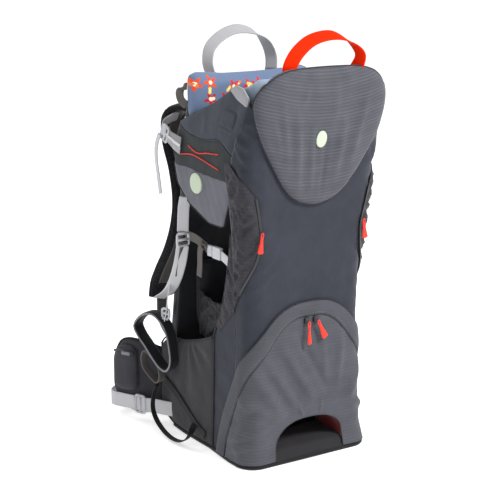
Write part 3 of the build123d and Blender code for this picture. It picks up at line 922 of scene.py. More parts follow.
def flap_lift(s, z, u, v):
    return 3.6 + 1.5 * math.sin(math.pi * v) + 0.8 * wobble((s, z, 0), 30, 9.0)


pocket = band_sheet("pocket_cloth", slot_line(BAND_POINTS), arch_line(BAND_POINTS, 29), 56, "ripple_soft", pocket_lift)
put(thicken(pocket, 1.4), "kickstand", "ripple_grey", "lower_pocket")
flap = band_sheet("pocket_flap", arch_line(BAND_POINTS, 26.5), arch_line(BAND_POINTS, 1.0), 10, "ripple_band",
                  flap_lift)
put(thicken(flap, 1.6, 1), "kickstand", "ripple_grey")


def along(shape, lift):
    return [skin(s, z, lift) for s, z in shape]


def above_foot(shape):
    return [q for q in shape if q[1] > 28]


for name, shape, lift, r, mat in (("pocket_piping", arch_line(TRIM_POINTS), 3.0, 1.2, "piping"),
                                  ("pocket_zip_line", above_foot(arch_line(TRIM_POINTS, 27.6)), 3.9, 1.2, "zip"),
                                  ("slot_binding", slot_line(140, 0.5), 3.2, 1.2, "piping_mid")):
    put(piping(name, along(shape, lift), r, mat), "kickstand", "slate")
hem = above_foot(arch_line(TRIM_POINTS, 23.0))
put(stitches("flap_stitching", along(hem, 5.2), [skin_normal(s, z) for s, z in hem]), "kickstand", "slate")

TUNNEL = slot_line(81, 0.6)


def lining_point(u, v):
    """The arched tunnel behind the slot's opening."""
    s, z = TUNNEL[round(u * 80)]
    squeeze = 1 - 0.05 * v + 0.015 * math.sin(9 * v + 6 * u)
    return Vector((s * squeeze, -150 + 78 * v, 27.5 + (max(z, 27.5) - 27.5) * squeeze))


put(thicken(grid("slot_tunnel", lining_point, 80, 14, "red", (300, 78)), 1.2), "kickstand", "slot_red", "slot_lining")

# dark cloth apron over the stand's foot bar, its front run down nearly to the floor as a dark sheet standing in for the
# shadow under the slot, and the sole that runs round the bottom of the shell
APRON = [(-158, 1.8), (-153, 9), (-150, 21), (-141, 27.5), (-120, 30), (-74, 34)]
SOLE = pad_profile(7.6, 7.0, 8, 2.6)


def apron_point(u, v):
    x, y = -79 + 158 * u, -158 + v * 84
    z = curve_at(APRON, y) + 0.8 * wobble((x, y, 0), 30, 2.0) * math.sin(math.pi * v)
    return Vector((x, y, z + 1.5 * math.cos(math.pi * u) ** 2))


put(thicken(grid("slot_apron", apron_point, 50, 30, "stretch_trim", (150, 90)), 1.2), "kickstand", "slate")
sole_reach = s_of_side(JOIN_Y, 6)
sole_line = [skin(sole_reach * (k / 110 - 1), 4.0, 0.6) for k in range(221)]
put(sweep("shell_sole", sole_line, UP, SOLE, "binding"), "kickstand", "slate")

# ------------------------------------------------------------------ rain-shield panel on the upper rear
RIM_TOP = 735
SHIELD = [(487, 8), (492, 30), (501, 48), (512, 62), (530, 77), (552, 92), (586, 113), (615, 127), (640, 136),
          (664, 142), (680, 142), (694, 137), (706, 127), (717, 114), (726, 98)]
shield_ring = outline([(w, z) for z, w in SHIELD] + [(66, 733), (0, RIM_TOP), (-66, 733)]
                      + [(-w, z) for z, w in reversed(SHIELD)], 5.0, smooth=True)
SHIELD_FOLDS = [((-62, 668), (-46, 514), 8, 5.0), ((-26, 640), (-20, 500), 7, 4.2), ((42, 655), (30, 515), 9, 4.6),
                ((-98, 690), (-72, 556), 8, 4.0), ((88, 690), (58, 545), 9, 4.4), ((8, 620), (4, 496), 5, -3.4),
                ((-112, 650), (-88, 575), 6, 3.0), ((16, 720), (20, 640), 10, 2.5), ((-40, 726), (-52, 660), 8, 2.6)]


def shield_front(A, B, D):
    top = np.clip((B - 655) / 75, 0, 1)
    tail = np.clip((600 - B) / 110, 0, 1)
    ruche = top ** 2 * np.sin(A / 5.5 + 2.2 * noise_at(A, B * 0.4, 24, 3.0)) * soft(D, 9)
    folds = tail * np.sin(A / 9.0 + (600 - B) / 60) * soft(D, 22) * 1.3
    long_folds = sum(np.array([ridge(a, b, *fold) for a, b in zip(A, B)]) for fold in SHIELD_FOLDS)
    return 3.0 + puff(D, 8.5, 22) + (2.2 * noise_at(A, B, 48, 1.0) + long_folds) * soft(D, 25) + ruche + folds


def shield_place(a, b, h):
    return skin(a, min(b, RIM_TOP), h)


def move_uvs(obj, move):
    for loop_uv in obj.data.uv_layers[0].data:
        loop_uv.uv = move(*loop_uv.uv)


shield = panel("shield_pad", shield_ring, shield_place, shield_front,
               lambda A, B, D: np.where(B > 712, -7.0, 0.5), "ripple", 4.2)
move_uvs(shield, lambda a, b: (a, b - 1.3 * a * a))
put(shield, "frame", "ripple_grey", "headrest_shield", pads=0.5)
rim = [shield_place(a, b, 3.2) for a, b in shield_ring]
put(piping("shield_piping", rim, 1.2, "piping", closed=True), "frame", "slate")
badge = panel("shield_badge", oval(-6, 608, 11, 15, 2.0), skin, lambda A, B, D: 13.2 + puff(D, 0.7, 1.5), level(8.5),
              "badge", 2.5)
put(badge, "frame", "webbing_grey")

# ------------------------------------------------------------------ headrest collar behind the shield
COLLAR = smooth_path([(-119, -66, 0), (-120, -105, 0), (-114, -134, 0), (-92, -149, 0), (0, -155, 0), (92, -149, 0),
                      (114, -134, 0), (120, -105, 0), (119, -66, 0)], 6)
COLLAR_TOP = [(-155, 731), (-149, 722), (-134, 712), (-105, 697), (-66, 672)]
collar_line = even(COLLAR, 90)


def collar_point(u, v):
    """u runs round the collar, v round its section: up the inside, over the top and down the outside."""
    i = min(89, round(u * 89))
    p, t = collar_line[i], tangent(collar_line, i)
    inward = Vector((-t.y, t.x, 0))
    ends = min(1.0, min(u, 1 - u) / 0.16)
    top = curve_at(COLLAR_TOP, p.y)
    foot = 572 + 40 * (1 - ends)
    a = math.tau * v
    swell = 5.0 * (0.25 + 0.75 * min(1.0, min(u, 1 - u) / 0.02) ** 0.5)
    w = signed_power(math.cos(a), 0.8) * swell
    z = (top + foot) / 2 + signed_power(math.sin(a), 0.35) * (top - foot) / 2
    quilt = 1.3 * wobble((u * 500, z, 0), 40, 2.0)
    return Vector((p.x, p.y, z)) + inward * (w + math.copysign(quilt, w) * 0.6)


collar = grid("headrest_collar", collar_point, 89, 40, "liner")
with editing(collar) as bm:
    bmesh.ops.remove_doubles(bm, verts=bm.verts, dist=1e-5)
    bmesh.ops.holes_fill(bm, edges=[e for e in bm.edges if e.is_boundary], sides=0)
    bmesh.ops.recalc_face_normals(bm, faces=bm.faces)
inflate(collar, 5.5, 3.0, 3.5, 16)
put(collar, "frame", "liner_blue", "headrest_liner", pads=0.6)

# ------------------------------------------------------------------ face pad over the top of the hoop
face_ring = outline([(-124, 566), (124, 566), (128, 600), (135, 640), (136, 705), (120, 711), (-120, 711), (-136, 705),
                     (-135, 640), (-128, 600)], 6.0, rounded=36)


def face_front(A, B, D):
    sag = 1.5 * noise_at(A, B, 60, 4.0)
    return 2 + puff(D, 19.0, 24) + sag - 6 * np.clip((640 - B) / 80, 0, 1)


def face_back(A, B, D):
    sleeve = np.clip((B - 596) / 30, 0, 1)
    sleeve = sleeve * sleeve * (3 - 2 * sleeve)
    return -(2 + puff(D, 19.0, 24)) * sleeve + (1 - sleeve) * (3.0 + 0 * D)


face = panel("face_pad_cover", face_ring, lambda a, b, h: Vector((a, 51 - h, b)), face_front, face_back, "print", 5.0)
inflate(face, 5.5, 3.5, 6.0, 18)
put(face, "frame", "pad_blue", "face_pad", pads=0.7)

# ------------------------------------------------------------------ side wings
WING = [(77, 619), (46, 632), (-45, 667), (-96, 693), (-160, 672), (-146, 640), (-124, 590), (-104, 533), (-88, 490),
        (-70, 442), (-24, 442), (50, 469), (87, 500), (101, 535), (93, 590)]
WING_SEAM = [(74, 612), (60, 604), (41, 598), (12, 594), (-15, 594), (-50, 599), (-62, 599), (-88, 582), (-107, 571)]
UPPER = [(77, 618), (46, 631), (-45, 666), (-95, 691.5), (-158, 671), (-144, 640), (-124, 598)] + WING_SEAM[::-1]
PATCH = [(99, 540), (51, 536), (10, 533), (-37, 530), (-96, 527), (-94, 524), (-88, 490), (-70, 443.5), (-24, 443.5),
         (50, 470.5), (86, 501)]


def wing_place(lift):
    return lambda a, b, h: Vector((-(134.5 + lift + h - max(0.0, (-a - 70) / 70) * 3.0), a, b))


def wing_front(height, run, slack):
    """Swell of a wing's cloth, with folds that are full from slack mm inside its edge."""
    return lambda A, B, D: (puff(D, height, run)
                            + (1.3 * noise_at(A, B, 60, 6.0) + 0.5 * noise_at(A, B, 22, 7.0)) * soft(D, slack))


def wing_line(points, lift, step=3.0):
    return [wing_place(lift)(p.x, p.y, 0) for p in flat_path(points, step)]


def upper_front(A, B, D):
    ripple = 0.9 * soft(D, 12) * np.sin((A + B) / 13.0 + noise_at(A, B, 30, 2.0) * 2)
    return wing_front(1.6, 5, 16)(A, B, D) + ripple


wing = panel("wing_left", outline(WING, 4.5, rounded=8), wing_place(0), wing_front(2.6, 9, 20),
             lambda A, B, D: -2.5 - puff(D, 1.5, 8), "fin_side", 4.5)
both(wing, "frame", "slate", "side_wing_SIDE", pads=0.3)
upper = panel("wing_upper_left", outline(UPPER, 4.0, rounded=5), wing_place(2.2), upper_front, level(-2.0),
              "wing_slate", 4.0)
both(upper, "frame", "slate")
both(piping("wing_seam_left", wing_line(WING_SEAM, 3.2), 1.0, "piping"), "frame", "slate")
patch = panel("wing_patch_left", outline(PATCH, 4.0, rounded=4), wing_place(2.0), wing_front(1.2, 3, 16), level(-2.0),
              "ripple_wing", 4.5)
move_uvs(patch, lambda a, b: (0.42 * a + 0.91 * b, 0.91 * a - 0.42 * b))
both(patch, "frame", "ripple_grey")
HEM = [(100, 538), (87, 501), (50, 470), (10, 454), (-24, 443), (-68, 442.5)]
both(piping("wing_hem_left", wing_line(HEM, 0.5), 2.0, "binding"), "frame", "slate")
wing_badge = panel("wing_badge_left", oval(18, 510, 20, 19, 2.5), wing_place(5.2), lambda A, B, D: puff(D, 0.8, 1.5),
                   level(-3.5), "badge", 3.0)
both(wing_badge, "frame", "webbing_grey")
RED_LINES = [[(44, 577), (30, 571), (9, 567), (-20, 571), (-60, 574)],
             [(72, 557), (44, 561), (22, 561), (-3, 557), (-60, 546)]]
threads = [piping("red_line_%d" % k, wing_line(line, 3.9), 1.15, "thread_red") for k, line in enumerate(RED_LINES)]
both(joined("wing_red_stitching_left", threads), "frame", "pull_orange")
wing_tab = panel("wing_tab_left", outline([(-75, 661), (-116, 653), (-104, 622), (-62, 629)], 3.0, rounded=3),
                 wing_place(3.8), lambda A, B, D: puff(D, 1.0, 2.0), level(-3.0), "wing_slate", 3.5)
both(wing_tab, "frame", "slate")
bartack = wing_line([(-62, 622), (-82, 619), (-104, 615)], 5.8, 2)
both(stitches("wing_bartack_left", bartack, [Vector((-1, 0, 0))] * len(bartack)), "frame", "webbing_grey")
TAB = [(-99, 694), (-120, 680), (-152, 668), (-158, 684), (-140, 700), (-118, 704)]
collar_tab = panel("collar_tab_left", outline(TAB, 3.0, rounded=5), lambda a, b, h: Vector((-(138.5 + h), a, b)),
                   lambda A, B, D: puff(D, 1.5, 4), level(-3.0), "patch", 3.5)
both(collar_tab, "frame", "liner_blue")


# ------------------------------------------------------------------ grab handles
def handle(name, stations, width, material, slot, node):
    """Flat webbing loop that twists as it goes: stations are (point, direction of its width)."""
    path = smooth_path([p for p, w in stations], 4)
    run = lengths(path)
    marks = [run[min(range(len(path)), key=lambda i: (path[i] - Vector(p)).length)] for p, w in stations]
    across = []
    for d in run:
        k = max(i for i in range(len(marks) - 1) if marks[i] <= d + 1e-6)
        t = min(1.0, (d - marks[k]) / max(1e-6, marks[k + 1] - marks[k]))
        across.append(Vector(stations[k][1]).normalized().lerp(Vector(stations[k + 1][1]).normalized(), t))
    put(sweep(name, path, across, flat_profile(width, 2.2), material), node, slot, node)


handle("front_grab_loop", [((-68, 80, 701), (0.35, -0.9, 0.0)), ((-71, 84, 724), (0.4, -0.85, -0.1)),
                           ((-62, 88, 750), (0.3, -0.75, -0.5)), ((-36, 88, 771), (0.05, -0.7, -0.65)),
                           ((-4, 85, 781), (0, -0.75, -0.65)), ((30, 80, 774), (0.15, -0.85, -0.45)),
                           ((54, 77, 754), (0.5, -0.8, -0.2)), ((67, 77, 728), (0.62, -0.78, 0)),
                           ((68, 77, 701), (0.6, -0.8, 0))], 24, "web_handle", "webbing_grey", "front_handle")
handle("rear_grab_loop", [((-67, -178, 716), (0.75, -0.66, 0)), ((-66, -178, 738), (0.7, -0.6, -0.35)),
                          ((-48, -177, 762), (0.4, -0.6, -0.65)), ((-18, -177, 781), (0.1, -0.7, -0.7)),
                          ((22, -179, 787), (0, -0.8, -0.6)), ((54, -184, 776), (-0.1, -0.95, -0.2)),
                          ((76, -189, 754), (0.1, -0.95, 0.2)), ((74, -186, 733), (0.5, -0.8, 0.3)),
                          ((67, -179, 716), (0.75, -0.66, 0))], 25, "web_orange", "webbing_orange", "rear_handle")
for name, (x, y, z), turns, mat, slot in (("front", (68, 78, 700), (0.35, 0.6), "web_handle", "webbing_grey"),
                                          ("rear", (67, -178, 719), (0.7, 0.7), "web_orange", "webbing_orange")):
    for (s, side), turn in zip(SIDES, turns):
        anchor = [(s * x, y, z + dz) for dz in (-22, -8, 5)]
        put(web("%s_loop_anchor_%s" % (name, side), anchor, (turn, -0.8, 0), 25, mat, 3.0), "frame", slot)
face_loop = [(-131, 60, 684), (-136, 68, 681), (-138, 74, 672), (-137, 73, 660), (-134, 66, 652), (-131, 60, 650)]
both(web("face_pad_loop_left", face_loop, (0.55, -0.5, 0.5), 15, "web_taupe", 2.0), "frame", "webbing_taupe")

# ------------------------------------------------------------------ side panels with stretch pockets
SIDE = [(-97, 6), (75, 6), (121, 10), (160, 29), (172, 48), (165, 165), (135, 186), (82, 192), (24, 208), (-26, 226),
        (-37, 248), (-60, 303), (-82, 380), (-92, 430), (-97, 436)]
POCKET = [(-24, 7), (75, 7), (121, 11), (160, 30), (171, 48), (165, 164), (135, 185), (82, 191), (24, 207), (-26, 225),
          (-27, 150)]


def side_place(lift):
    def place(a, b, h):
        rear = clamp((-a - 10) / 80)
        base = 129.5 + (curve_at(HALF, b) - 129.5) * rear
        return Vector((-(base + lift + h), a, b))
    return place


def creased(A, B, D, broad=2.2):
    return (broad * noise_at(A, B, 62, 5.0) + 0.9 * noise_at(A, B, 24, 9.0)) * soft(D, 26.0)


def pocket_front(A, B, D):
    """Slack folds that fan out from the pocket's upper front corner, and a bulge where it holds its shape."""
    fan = np.sin(np.arctan2(B - 215, A - 60) * 13) * np.exp(-np.hypot(A - 60, B - 215) / 90) * 1.8
    bulge = 4.0 * np.sin(np.pi * np.clip((A + 24) / 190, 0, 1)) * np.clip(B / 110, 0, 1)
    return puff(D, 2.0, 8) + creased(A, B, D) + (fan + bulge) * soft(D, 20)


side_cloth = panel("side_cloth_left", outline(SIDE, 5.0, rounded=4), side_place(0),
                   lambda A, B, D: creased(A, B, D, 1.0), lambda A, B, D: -1.8 + creased(A, B, D, 1.0), "slate", 5.0)
both(side_cloth, SIDE_BLEND, "stretch_grey", "side_panel_SIDE")
side_pocket = panel("side_pocket_left", outline(POCKET, 5.0, rounded=5), side_place(1.4), pocket_front, level(-1.2),
                    "stretch", 4.5)
both(side_pocket, SIDE_BLEND, "stretch_grey")


def side_line(points, lift):
    return [side_place(lift)(p.x, p.y, 0) for p in flat_path(points)]


SIDE_TRIMS = [("side_seam_left", [(y, z) for z, y in SEAM_Y if z <= 432], 1.8, 1.0, "piping"),
              ("side_pocket_hem_left", [(166, 164), (152, 178), (135, 185), (82, 191), (24, 207), (-26, 225)], 2.6, 1.7,
               "stretch_trim"),
              ("side_front_binding_left", [(75, 6.5), (121, 10.5), (160, 29.5), (172, 48), (170, 100), (165, 165)], 1.2,
               2.2, "binding"),
              ("leg_opening_binding_left", [(-26, 226), (-37, 248), (-60, 303), (-82, 380), (-92, 434)], 1.0, 1.9,
               "binding")]
for name, points, lift, r, mat in SIDE_TRIMS:
    both(piping(name, side_line(points, lift), r, mat), SIDE_BLEND, "stretch_grey")


def over_pocket(y, z):
    bulge = 4.0 * math.sin(math.pi * clamp((y + 24) / 190)) * min(1.0, z / 110)
    return side_place(6.6 + bulge)(y, z, 0)


TENSION = [(-3, 24), (22, 33), (46, 46), (76, 64), (104, 80), (140, 92), (168, 98)]
diagonal = [over_pocket(p.x, p.y) for p in flat_path(TENSION)]
both(sweep("side_tension_strap_left", diagonal, (0, -0.35, 1), flat_profile(17, 1.6), "web_black"), SIDE_BLEND,
     "webbing_black")
sole_line = side_line([(-97, 4), (-40, 4), (20, 4), (75, 4.5), (100, 6), (121, 8)], 0.6)
both(sweep("side_sole_left", sole_line, UP, SOLE, "binding"), SIDE_BLEND, "stretch_grey")

# bottom binding of the shell on either side of the foot slot, and the floor
foot_line = [skin((k / 100 - 1) * s_of_side(JOIN_Y, 6), 6.5, 0.4) for k in range(201)]
for s, side in SIDES:
    half = [p for p in foot_line if s * p.x > 76 or p.y > -120 and s * p.x > 0]
    put(piping("shell_foot_binding_" + side, half, 2.0, "binding"), "kickstand", "slate")


def floor_point(u, v):
    x, y = -126 + 252 * u, -112 + 184 * v
    sag = -2.5 * math.sin(math.pi * u) * math.sin(math.pi * v)
    return Vector((x, y, 27 + sag + 1.2 * wobble((x, y, 0), 45, 3.0)))


put(thicken(grid("base_floor_cloth", floor_point, 40, 30, "stretch_dark", (250, 184)), 2.0), "frame", "stretch_grey",
    "base_floor", squash=("kickstand_fold", P(0, 72, 27), 0.2))

# gusset zips
for side, name in SIDES:
    line = [skin(side * (gusset_edge(z) - 2), z, 3.4) for z in [325 + 185 * k / 60 for k in range(61)]]
    across = skin_normal(side * gusset_edge(400), 400).cross(UP)
    put(sweep("gusset_zip_" + name, line, across, flat_profile(4.5, 1.6), "zip"), HINGE_BLEND, "slate")

# the gussets' ripple cloth carried round the side to the leg openings
FLANK = ([(-97.5, 292), (-92, 286), (-45, 240)] + [(y + 1.0, z) for z, y in SEAM_Y if 240 < z < 500] + [(-97.5, 440)])


def flank_front(A, B, D):
    folds = np.array([5.4 * crease(b * 0.8 - a * 0.9, b * 0.3 + a * 0.5, 20, 4.4) for a, b in zip(A, B)])
    return puff(D, 1.4, 5) + soft(D, 8) * folds


flank = panel("gusset_flank_left", outline(FLANK, 4.5, rounded=3), side_place(1.2), flank_front, level(-1.5), "gusset",
              4.0)
both(flank, SIDE_BLEND, "ripple_grey")

# ------------------------------------------------------------------ back lining, child seat and its straps
SLOPE = 0.145       # lean of the back frame, forward per unit of height
TILT = math.atan(SLOPE)


def lining_sheet(u, v):
    """Black lining of the child's side of the back."""
    x, z = -126 + 252 * u, 34 + 560 * v
    out = -14 + 2.0 * wobble((x, 0, z), 60, 2.0) + 1.4 * crease(x, z, 34, 5.0)
    return Vector((x, 160 - SLOPE * z + out, z))


put(thicken(grid("back_lining", lining_sheet, 48, 100, "black", (226, 560)), 1.4), "frame", "black_fabric")


def on_back(x, z, out=0.0):
    """Point off the plane of the leaning back frame."""
    return Vector((x, 160 - SLOPE * z + out * math.cos(TILT), z + out * math.sin(TILT)))


seat_path = even(smooth_path([(0, 72, 345), (0, 68, 280), (0, 60, 222), (0, 30, 210), (0, -20, 210), (0, -42, 232),
                              (0, -76, 340), (0, -95, 430), (0, -112, 520)], 5), 70)


def seat_point(u, v):
    i = round(v * 69)
    wide = 92 + 9 * math.exp(-((i - 12) / 12) ** 2)
    x = (2 * u - 1) * wide
    edge = max(0.0, abs(x) - 66) / 30
    folds = 2.6 * wobble((x, i * 6, 0), 44, 2.0) + 1.3 * wobble((x, i * 9, 0), 17, 5.0)
    tuck = 1.6 * math.sin(x / 11 + i / 3.5 + 2 * wobble((x, i * 6, 0), 50, 1.0)) * (0.3 + edge)
    t = tangent(seat_path, i)
    return seat_path[i] + Vector((x, 0, 0)) + Vector((0, t.z, -t.y)) * ((folds + tuck) * 0.8 - 6 * edge ** 2)


put(thicken(grid("seat_cloth", seat_point, 60, 69, "black"), 7.5), "seat", "black_fabric", "child_seat", pads=0.4)
CHILD_PAD = [(-98, 507), (-72, 470), (-50, 420), (-38, 370), (-34, 318), (-36, 270)]
CHILD_WEB = [(-66, 470), (-44, 420), (-32, 370), (-28.5, 318), (-31, 276)]
for s, name in SIDES:
    rim = piping("seat_binding_" + name, [seat_point(max(s, 0), k / 69) for k in range(70)], 3.6, "binding")
    put(rim, "seat", "black_fabric")
    pad_line, web_line = ([(s * (39 if z == 420 else 38), y, z) for y, z in line] for line in (CHILD_PAD, CHILD_WEB))
    pad = sweep("child_strap_" + name, smooth_path(pad_line, 6), (1, 0, 0), pad_profile(30, 7), "black")
    put(pad, "seat", "black_fabric", *(["child_straps"] if s < 0 else []), pads=0.4)
    put(web("child_strap_web_" + name, web_line, (1, 0, 0), 16, "web_grey", 1.4), "seat", "webbing_grey")


def bolster_point(u, v):
    """Crumpled cloth along the seat's sides, where the legs pass over."""
    y, z = -56 + 124 * u, 204 + 88 * v
    slack = 6.0 * crease(y * 0.8 + z * 0.6, z * 0.5, 30, 3.0) + 2.5 * crease(y, z, 15, 7.0)
    belly = math.sin(math.pi * u) * math.sin(math.pi * (0.15 + 0.7 * v))
    return Vector((-102 - 8 * belly - slack * min(1.0, 8 * u, 8 * (1 - u)), y, z - 10 * math.sin(math.pi * u) * v))


both(thicken(grid("seat_bolster_left", bolster_point, 46, 34, "nylon", (124, 88)), 2.0), "seat", "black_fabric",
     squash=("kickstand_fold", P(0, 68, 250), 0.6))


# ------------------------------------------------------------------ back padding
def back_place(a, b, h):
    return on_back(a, b, 12 + h)


def back_front(A, B, D):
    """Pad sewn across into channels 48 mm apart."""
    return puff(D, 15, 16) - 2.2 * np.exp(-(((B % 48) - 48 / 2) / 3.5) ** 2) * soft(D, 10)


def lumbar_front(A, B, D):
    return puff(D, 17, 24) - 3.0 * np.exp(-((np.abs(A) - 44) / 5) ** 2) * soft(D, 12)


back_ring = outline([(14, 219), (80, 219), (80, 505), (14, 505)], 6.0, rounded=22)
left_ring = [(-a, b) for a, b in reversed(back_ring)]
back_left = panel("back_pad_left", left_ring, back_place, back_front, level(-0.3), "mesh", 5.5)
inflate(back_left, 6.0, 3.0, 5.0, 12)
both(back_left, "frame", "mesh_black", "back_pad", pads=0.6)
lumbar_ring = outline([(-90, 54), (90, 54), (86, 196), (-86, 196)], 6.0, rounded=30)
lumbar = panel("lumbar_cushion", lumbar_ring, back_place, lumbar_front, level(-0.3), "mesh", 6.0)
inflate(lumbar, 6.0, 3.0, 6.0, 14)
put(lumbar, "frame", "mesh_black", "lumbar_pad", pads=0.6)
for name, ring, out in (("lumbar_binding", lumbar_ring, 14), ("back_binding_right", back_ring, 13.5),
                        ("back_binding_left", left_ring, 13.5)):
    rim = piping(name, [on_back(a, b, out) for a, b in ring], 2.2, "binding", closed=True)
    put(rim, "frame", "mesh_black")

# ------------------------------------------------------------------ shoulder harness
STRAP = [on_back(-50, 560, 23.5), (-53, 112, 598), (-61, 132, 626), (-78, 160, 630), (-92, 176, 610), (-99, 164, 566),
         (-98, 142, 515), (-98, 129, 460), (-100, 133, 410), (-103, 152, 360), (-105, 182, 315), (-105, 204, 280),
         (-105, 212, 248)]
strap_path = smooth_path(STRAP, 5)
strap_across = [Vector((1, 0.10 * math.sin(k / (len(strap_path) - 1) * 5), 0)) for k in range(len(strap_path))]
strap_side = [square_to(side, tangent(strap_path, i)) for i, side in enumerate(strap_across)]
strap_up = [tangent(strap_path, i).cross(side) for i, side in enumerate(strap_side)]

strap = sweep("shoulder_pad_left", strap_path, strap_across, pad_profile(50, 14, 16, 3.6), "mesh")
for v in strap.data.vertices:
    p = bag(v.co)
    v.co += Vector((0, 0.9 * wobble(p, 26, 3.0), 0.6 * wobble(p, 19, 6.0))) / 1000
both(strap, "harness", "mesh_black", "shoulder_strap_SIDE", pads=0.6)
for edge, name in ((-24.4, "outer"), (24.4, "inner")):
    line = [p + side * edge for p, side in zip(strap_path, strap_side)]
    both(piping("shoulder_binding_%s_left" % name, line, 3.1, "binding"), "harness", "mesh_black")
for lift, mat, name in ((-7.4, "web_black", "back"), (7.4, "web_taupe", "front")):
    line = [p + up * lift for p, up in zip(strap_path[14:-6], strap_up[14:-6])]
    tape = sweep("shoulder_%s_tape_left" % name, line, strap_across[14:-6], flat_profile(25, 1.6), mat)
    both(tape, "harness", "webbing_taupe")
strap_foot = [(-105, 211, 262), (-105, 208, 243), (-107, 204, 218), (-109, 192, 196), (-113, 150, 172)]
both(web("strap_foot_left", strap_foot, (1, 0, 0), 25, "web_taupe", 2.2), "harness", "webbing_taupe", "strap_tails")
chest = [(-100, 143, 432), (-78, 148, 430), (-40, 158, 424), (0, 161, 422), (40, 158, 424), (78, 148, 430),
         (100, 143, 432)]
put(web("sternum_web", chest, UP, 20, "web_taupe", 2.0), "harness", "webbing_taupe", "sternum_strap")


def axes(across, facing):
    """Unit directions of a buckle: along across, the third way, and along facing."""
    x = Vector(across).normalized()
    z = square_to(Vector(facing).normalized(), x)
    return x, z.cross(x), z


def block(name, size, place, way, bevel):
    """Moulded block with softened edges."""
    mesh = bpy.data.meshes.new(name)
    obj = add_object(name, mesh)
    with editing(obj) as bm:
        bmesh.ops.create_cube(bm, size=1.0)
        for v in bm.verts:
            v.co = P(*(place + sum((w * (c * d) for w, c, d in zip(way, v.co, size)), Vector())))
        bmesh.ops.bevel(bm, geom=list(bm.edges), offset=bevel / 1000, segments=3, affect="EDGES", profile=0.6)
    mesh.materials.append(M["buckle"])
    mesh.polygons.foreach_set("use_smooth", [True] * len(mesh.polygons))
    return obj


def clip_buckle(name, place, across, facing, wide, long):
    """Side-release buckle: two halves, a tongue between them, its two latches and a raised rib. Each block is its
    length and width as shares of the buckle's, its thickness, its place along and across, its lift and its bevel."""
    x, y, z = axes(across, facing)
    shares = [(0.46, 1.0, 7, -0.26, 0.0, 0.0, 2.2), (0.34, 0.94, 6, 0.30, 0.0, 0.0, 1.8),
              (0.30, 0.34, 5, 0.02, 0.0, 0.0, 1.4), (0.30, 0.16, 4.5, 0.02, 0.42, 0.0, 1.2),
              (0.30, 0.16, 4.5, 0.02, -0.42, 0.0, 1.2), (0.22, 0.3, 1.6, -0.26, 0.0, 3.6, 0.7)]
    return joined(name, [block("%s_%d" % (name, k), (long * a, wide * b, thick),
                               Vector(place) + x * long * at + y * wide * off + z * lift, (x, y, z), bevel)
                         for k, (a, b, thick, at, off, lift, bevel) in enumerate(shares)])


put(clip_buckle("sternum_buckle", (0, 162.5, 422), (1, 0, 0), (0, 1, 0.2), 22, 40), "harness", "buckle_grey")


def ladder(name, place, across, facing, width, height):
    """Three-bar webbing adjuster with rounded bars."""
    x, y, z = axes(across, facing)
    c, w, h = Vector(place), width / 2 - 2.2, height / 2 - 2.0
    ring = [c + x * a + y * b for a, b in outline([(-w, -h), (w, -h), (w, h), (-w, h)], 2.5, rounded=4.5)]
    bar = [c - x * w + z * 0.8, c + z * 1.2, c + x * w + z * 0.8]
    lip = [c + x * (s * (w - 2)) + y * (h + 1.6) + z * 2.0 for s in (-1, 1)]
    return joined(name, [sweep(name + "_ring", ring, z, pad_profile(5.2, 4.6, 6, 2.6), "buckle", closed=True),
                         sweep(name + "_bar", bar, z, pad_profile(4.2, 5.0, 6, 2.4), "buckle"),
                         sweep(name + "_lip", lip, z, pad_profile(3.4, 4.2, 6, 2.2), "buckle")])


both(ladder("lifter_lock_left", (-141, 124, 589), (0, -0.4, 0.917), (-1, 0, 0), 34, 25), "frame", "buckle_grey",
     "ladder_locks")
both(ladder("adjuster_lock_left", (-143, 60, 396), (1, 0, 0), (0, -1, 0), 29, 27), "frame", "buckle_grey")
both(ladder("stirrup_buckle_left", (-154, 109, 242), (-0.32, 0.947, 0), (-0.947, -0.32, 0), 22, 22), "frame",
     "buckle_grey")


# ------------------------------------------------------------------ load lifters: flared webbing, run and loose tail
def flared(name, path, across, widths, material):
    """Webbing whose width changes along its length."""
    profile = flat_profile(1.0, 2.0)
    obj = sweep(name, path, across, profile, material)
    for i, p in enumerate(path):
        side = square_to(Vector(across), tangent(path, i))
        for v in obj.data.vertices[i * len(profile):(i + 1) * len(profile)]:
            a = (bag(v.co) - p).dot(side)
            v.co = P(*(bag(v.co) + side * a * (curve_at(widths, i / (len(path) - 1)) - 1)))
    return obj


lifter_path = smooth_path([(-142.5, 66, 573), (-143, 86, 578), (-142, 104, 583), (-141, 124, 589)], 4)
lifter = flared("lifter_web_left", lifter_path, (0, -0.3, 1), [(0, 34), (0.35, 31), (0.7, 26), (1, 25)], "web_light")
both(lifter, "frame", "webbing_grey", "lifter_straps")
run = [(-141, 122, 590), (-140, 138, 597), (-128, 152, 604), (-104, 160, 612), (-88, 166, 613)]
both(web("lifter_run_left", run, (0, -0.45, 1), 20, "web_grey"), ("frame", "harness", P(0, 128, 600), P(0, 158, 600)),
     "webbing_grey")


def nurbs(points):
    """Points along a smooth open curve that has the given control points, all in bag millimetres."""
    data = bpy.data.curves.new("route", "CURVE")
    data.dimensions = "3D"
    data.resolution_u = 12
    spline = data.splines.new("NURBS")
    spline.points.add(len(points) - 1)
    for q, p in zip(spline.points, points):
        q.co = (*P(*p), 1.0)
    spline.order_u = 3
    spline.use_endpoint_u = True
    holder = add_object("route", data)
    bpy.context.view_layer.update()
    mesh = bpy.data.meshes.new_from_object(holder)
    line = [bag(v.co) for v in mesh.vertices]
    bpy.data.objects.remove(holder)
    bpy.data.meshes.remove(mesh)
    bpy.data.curves.remove(data)
    return line


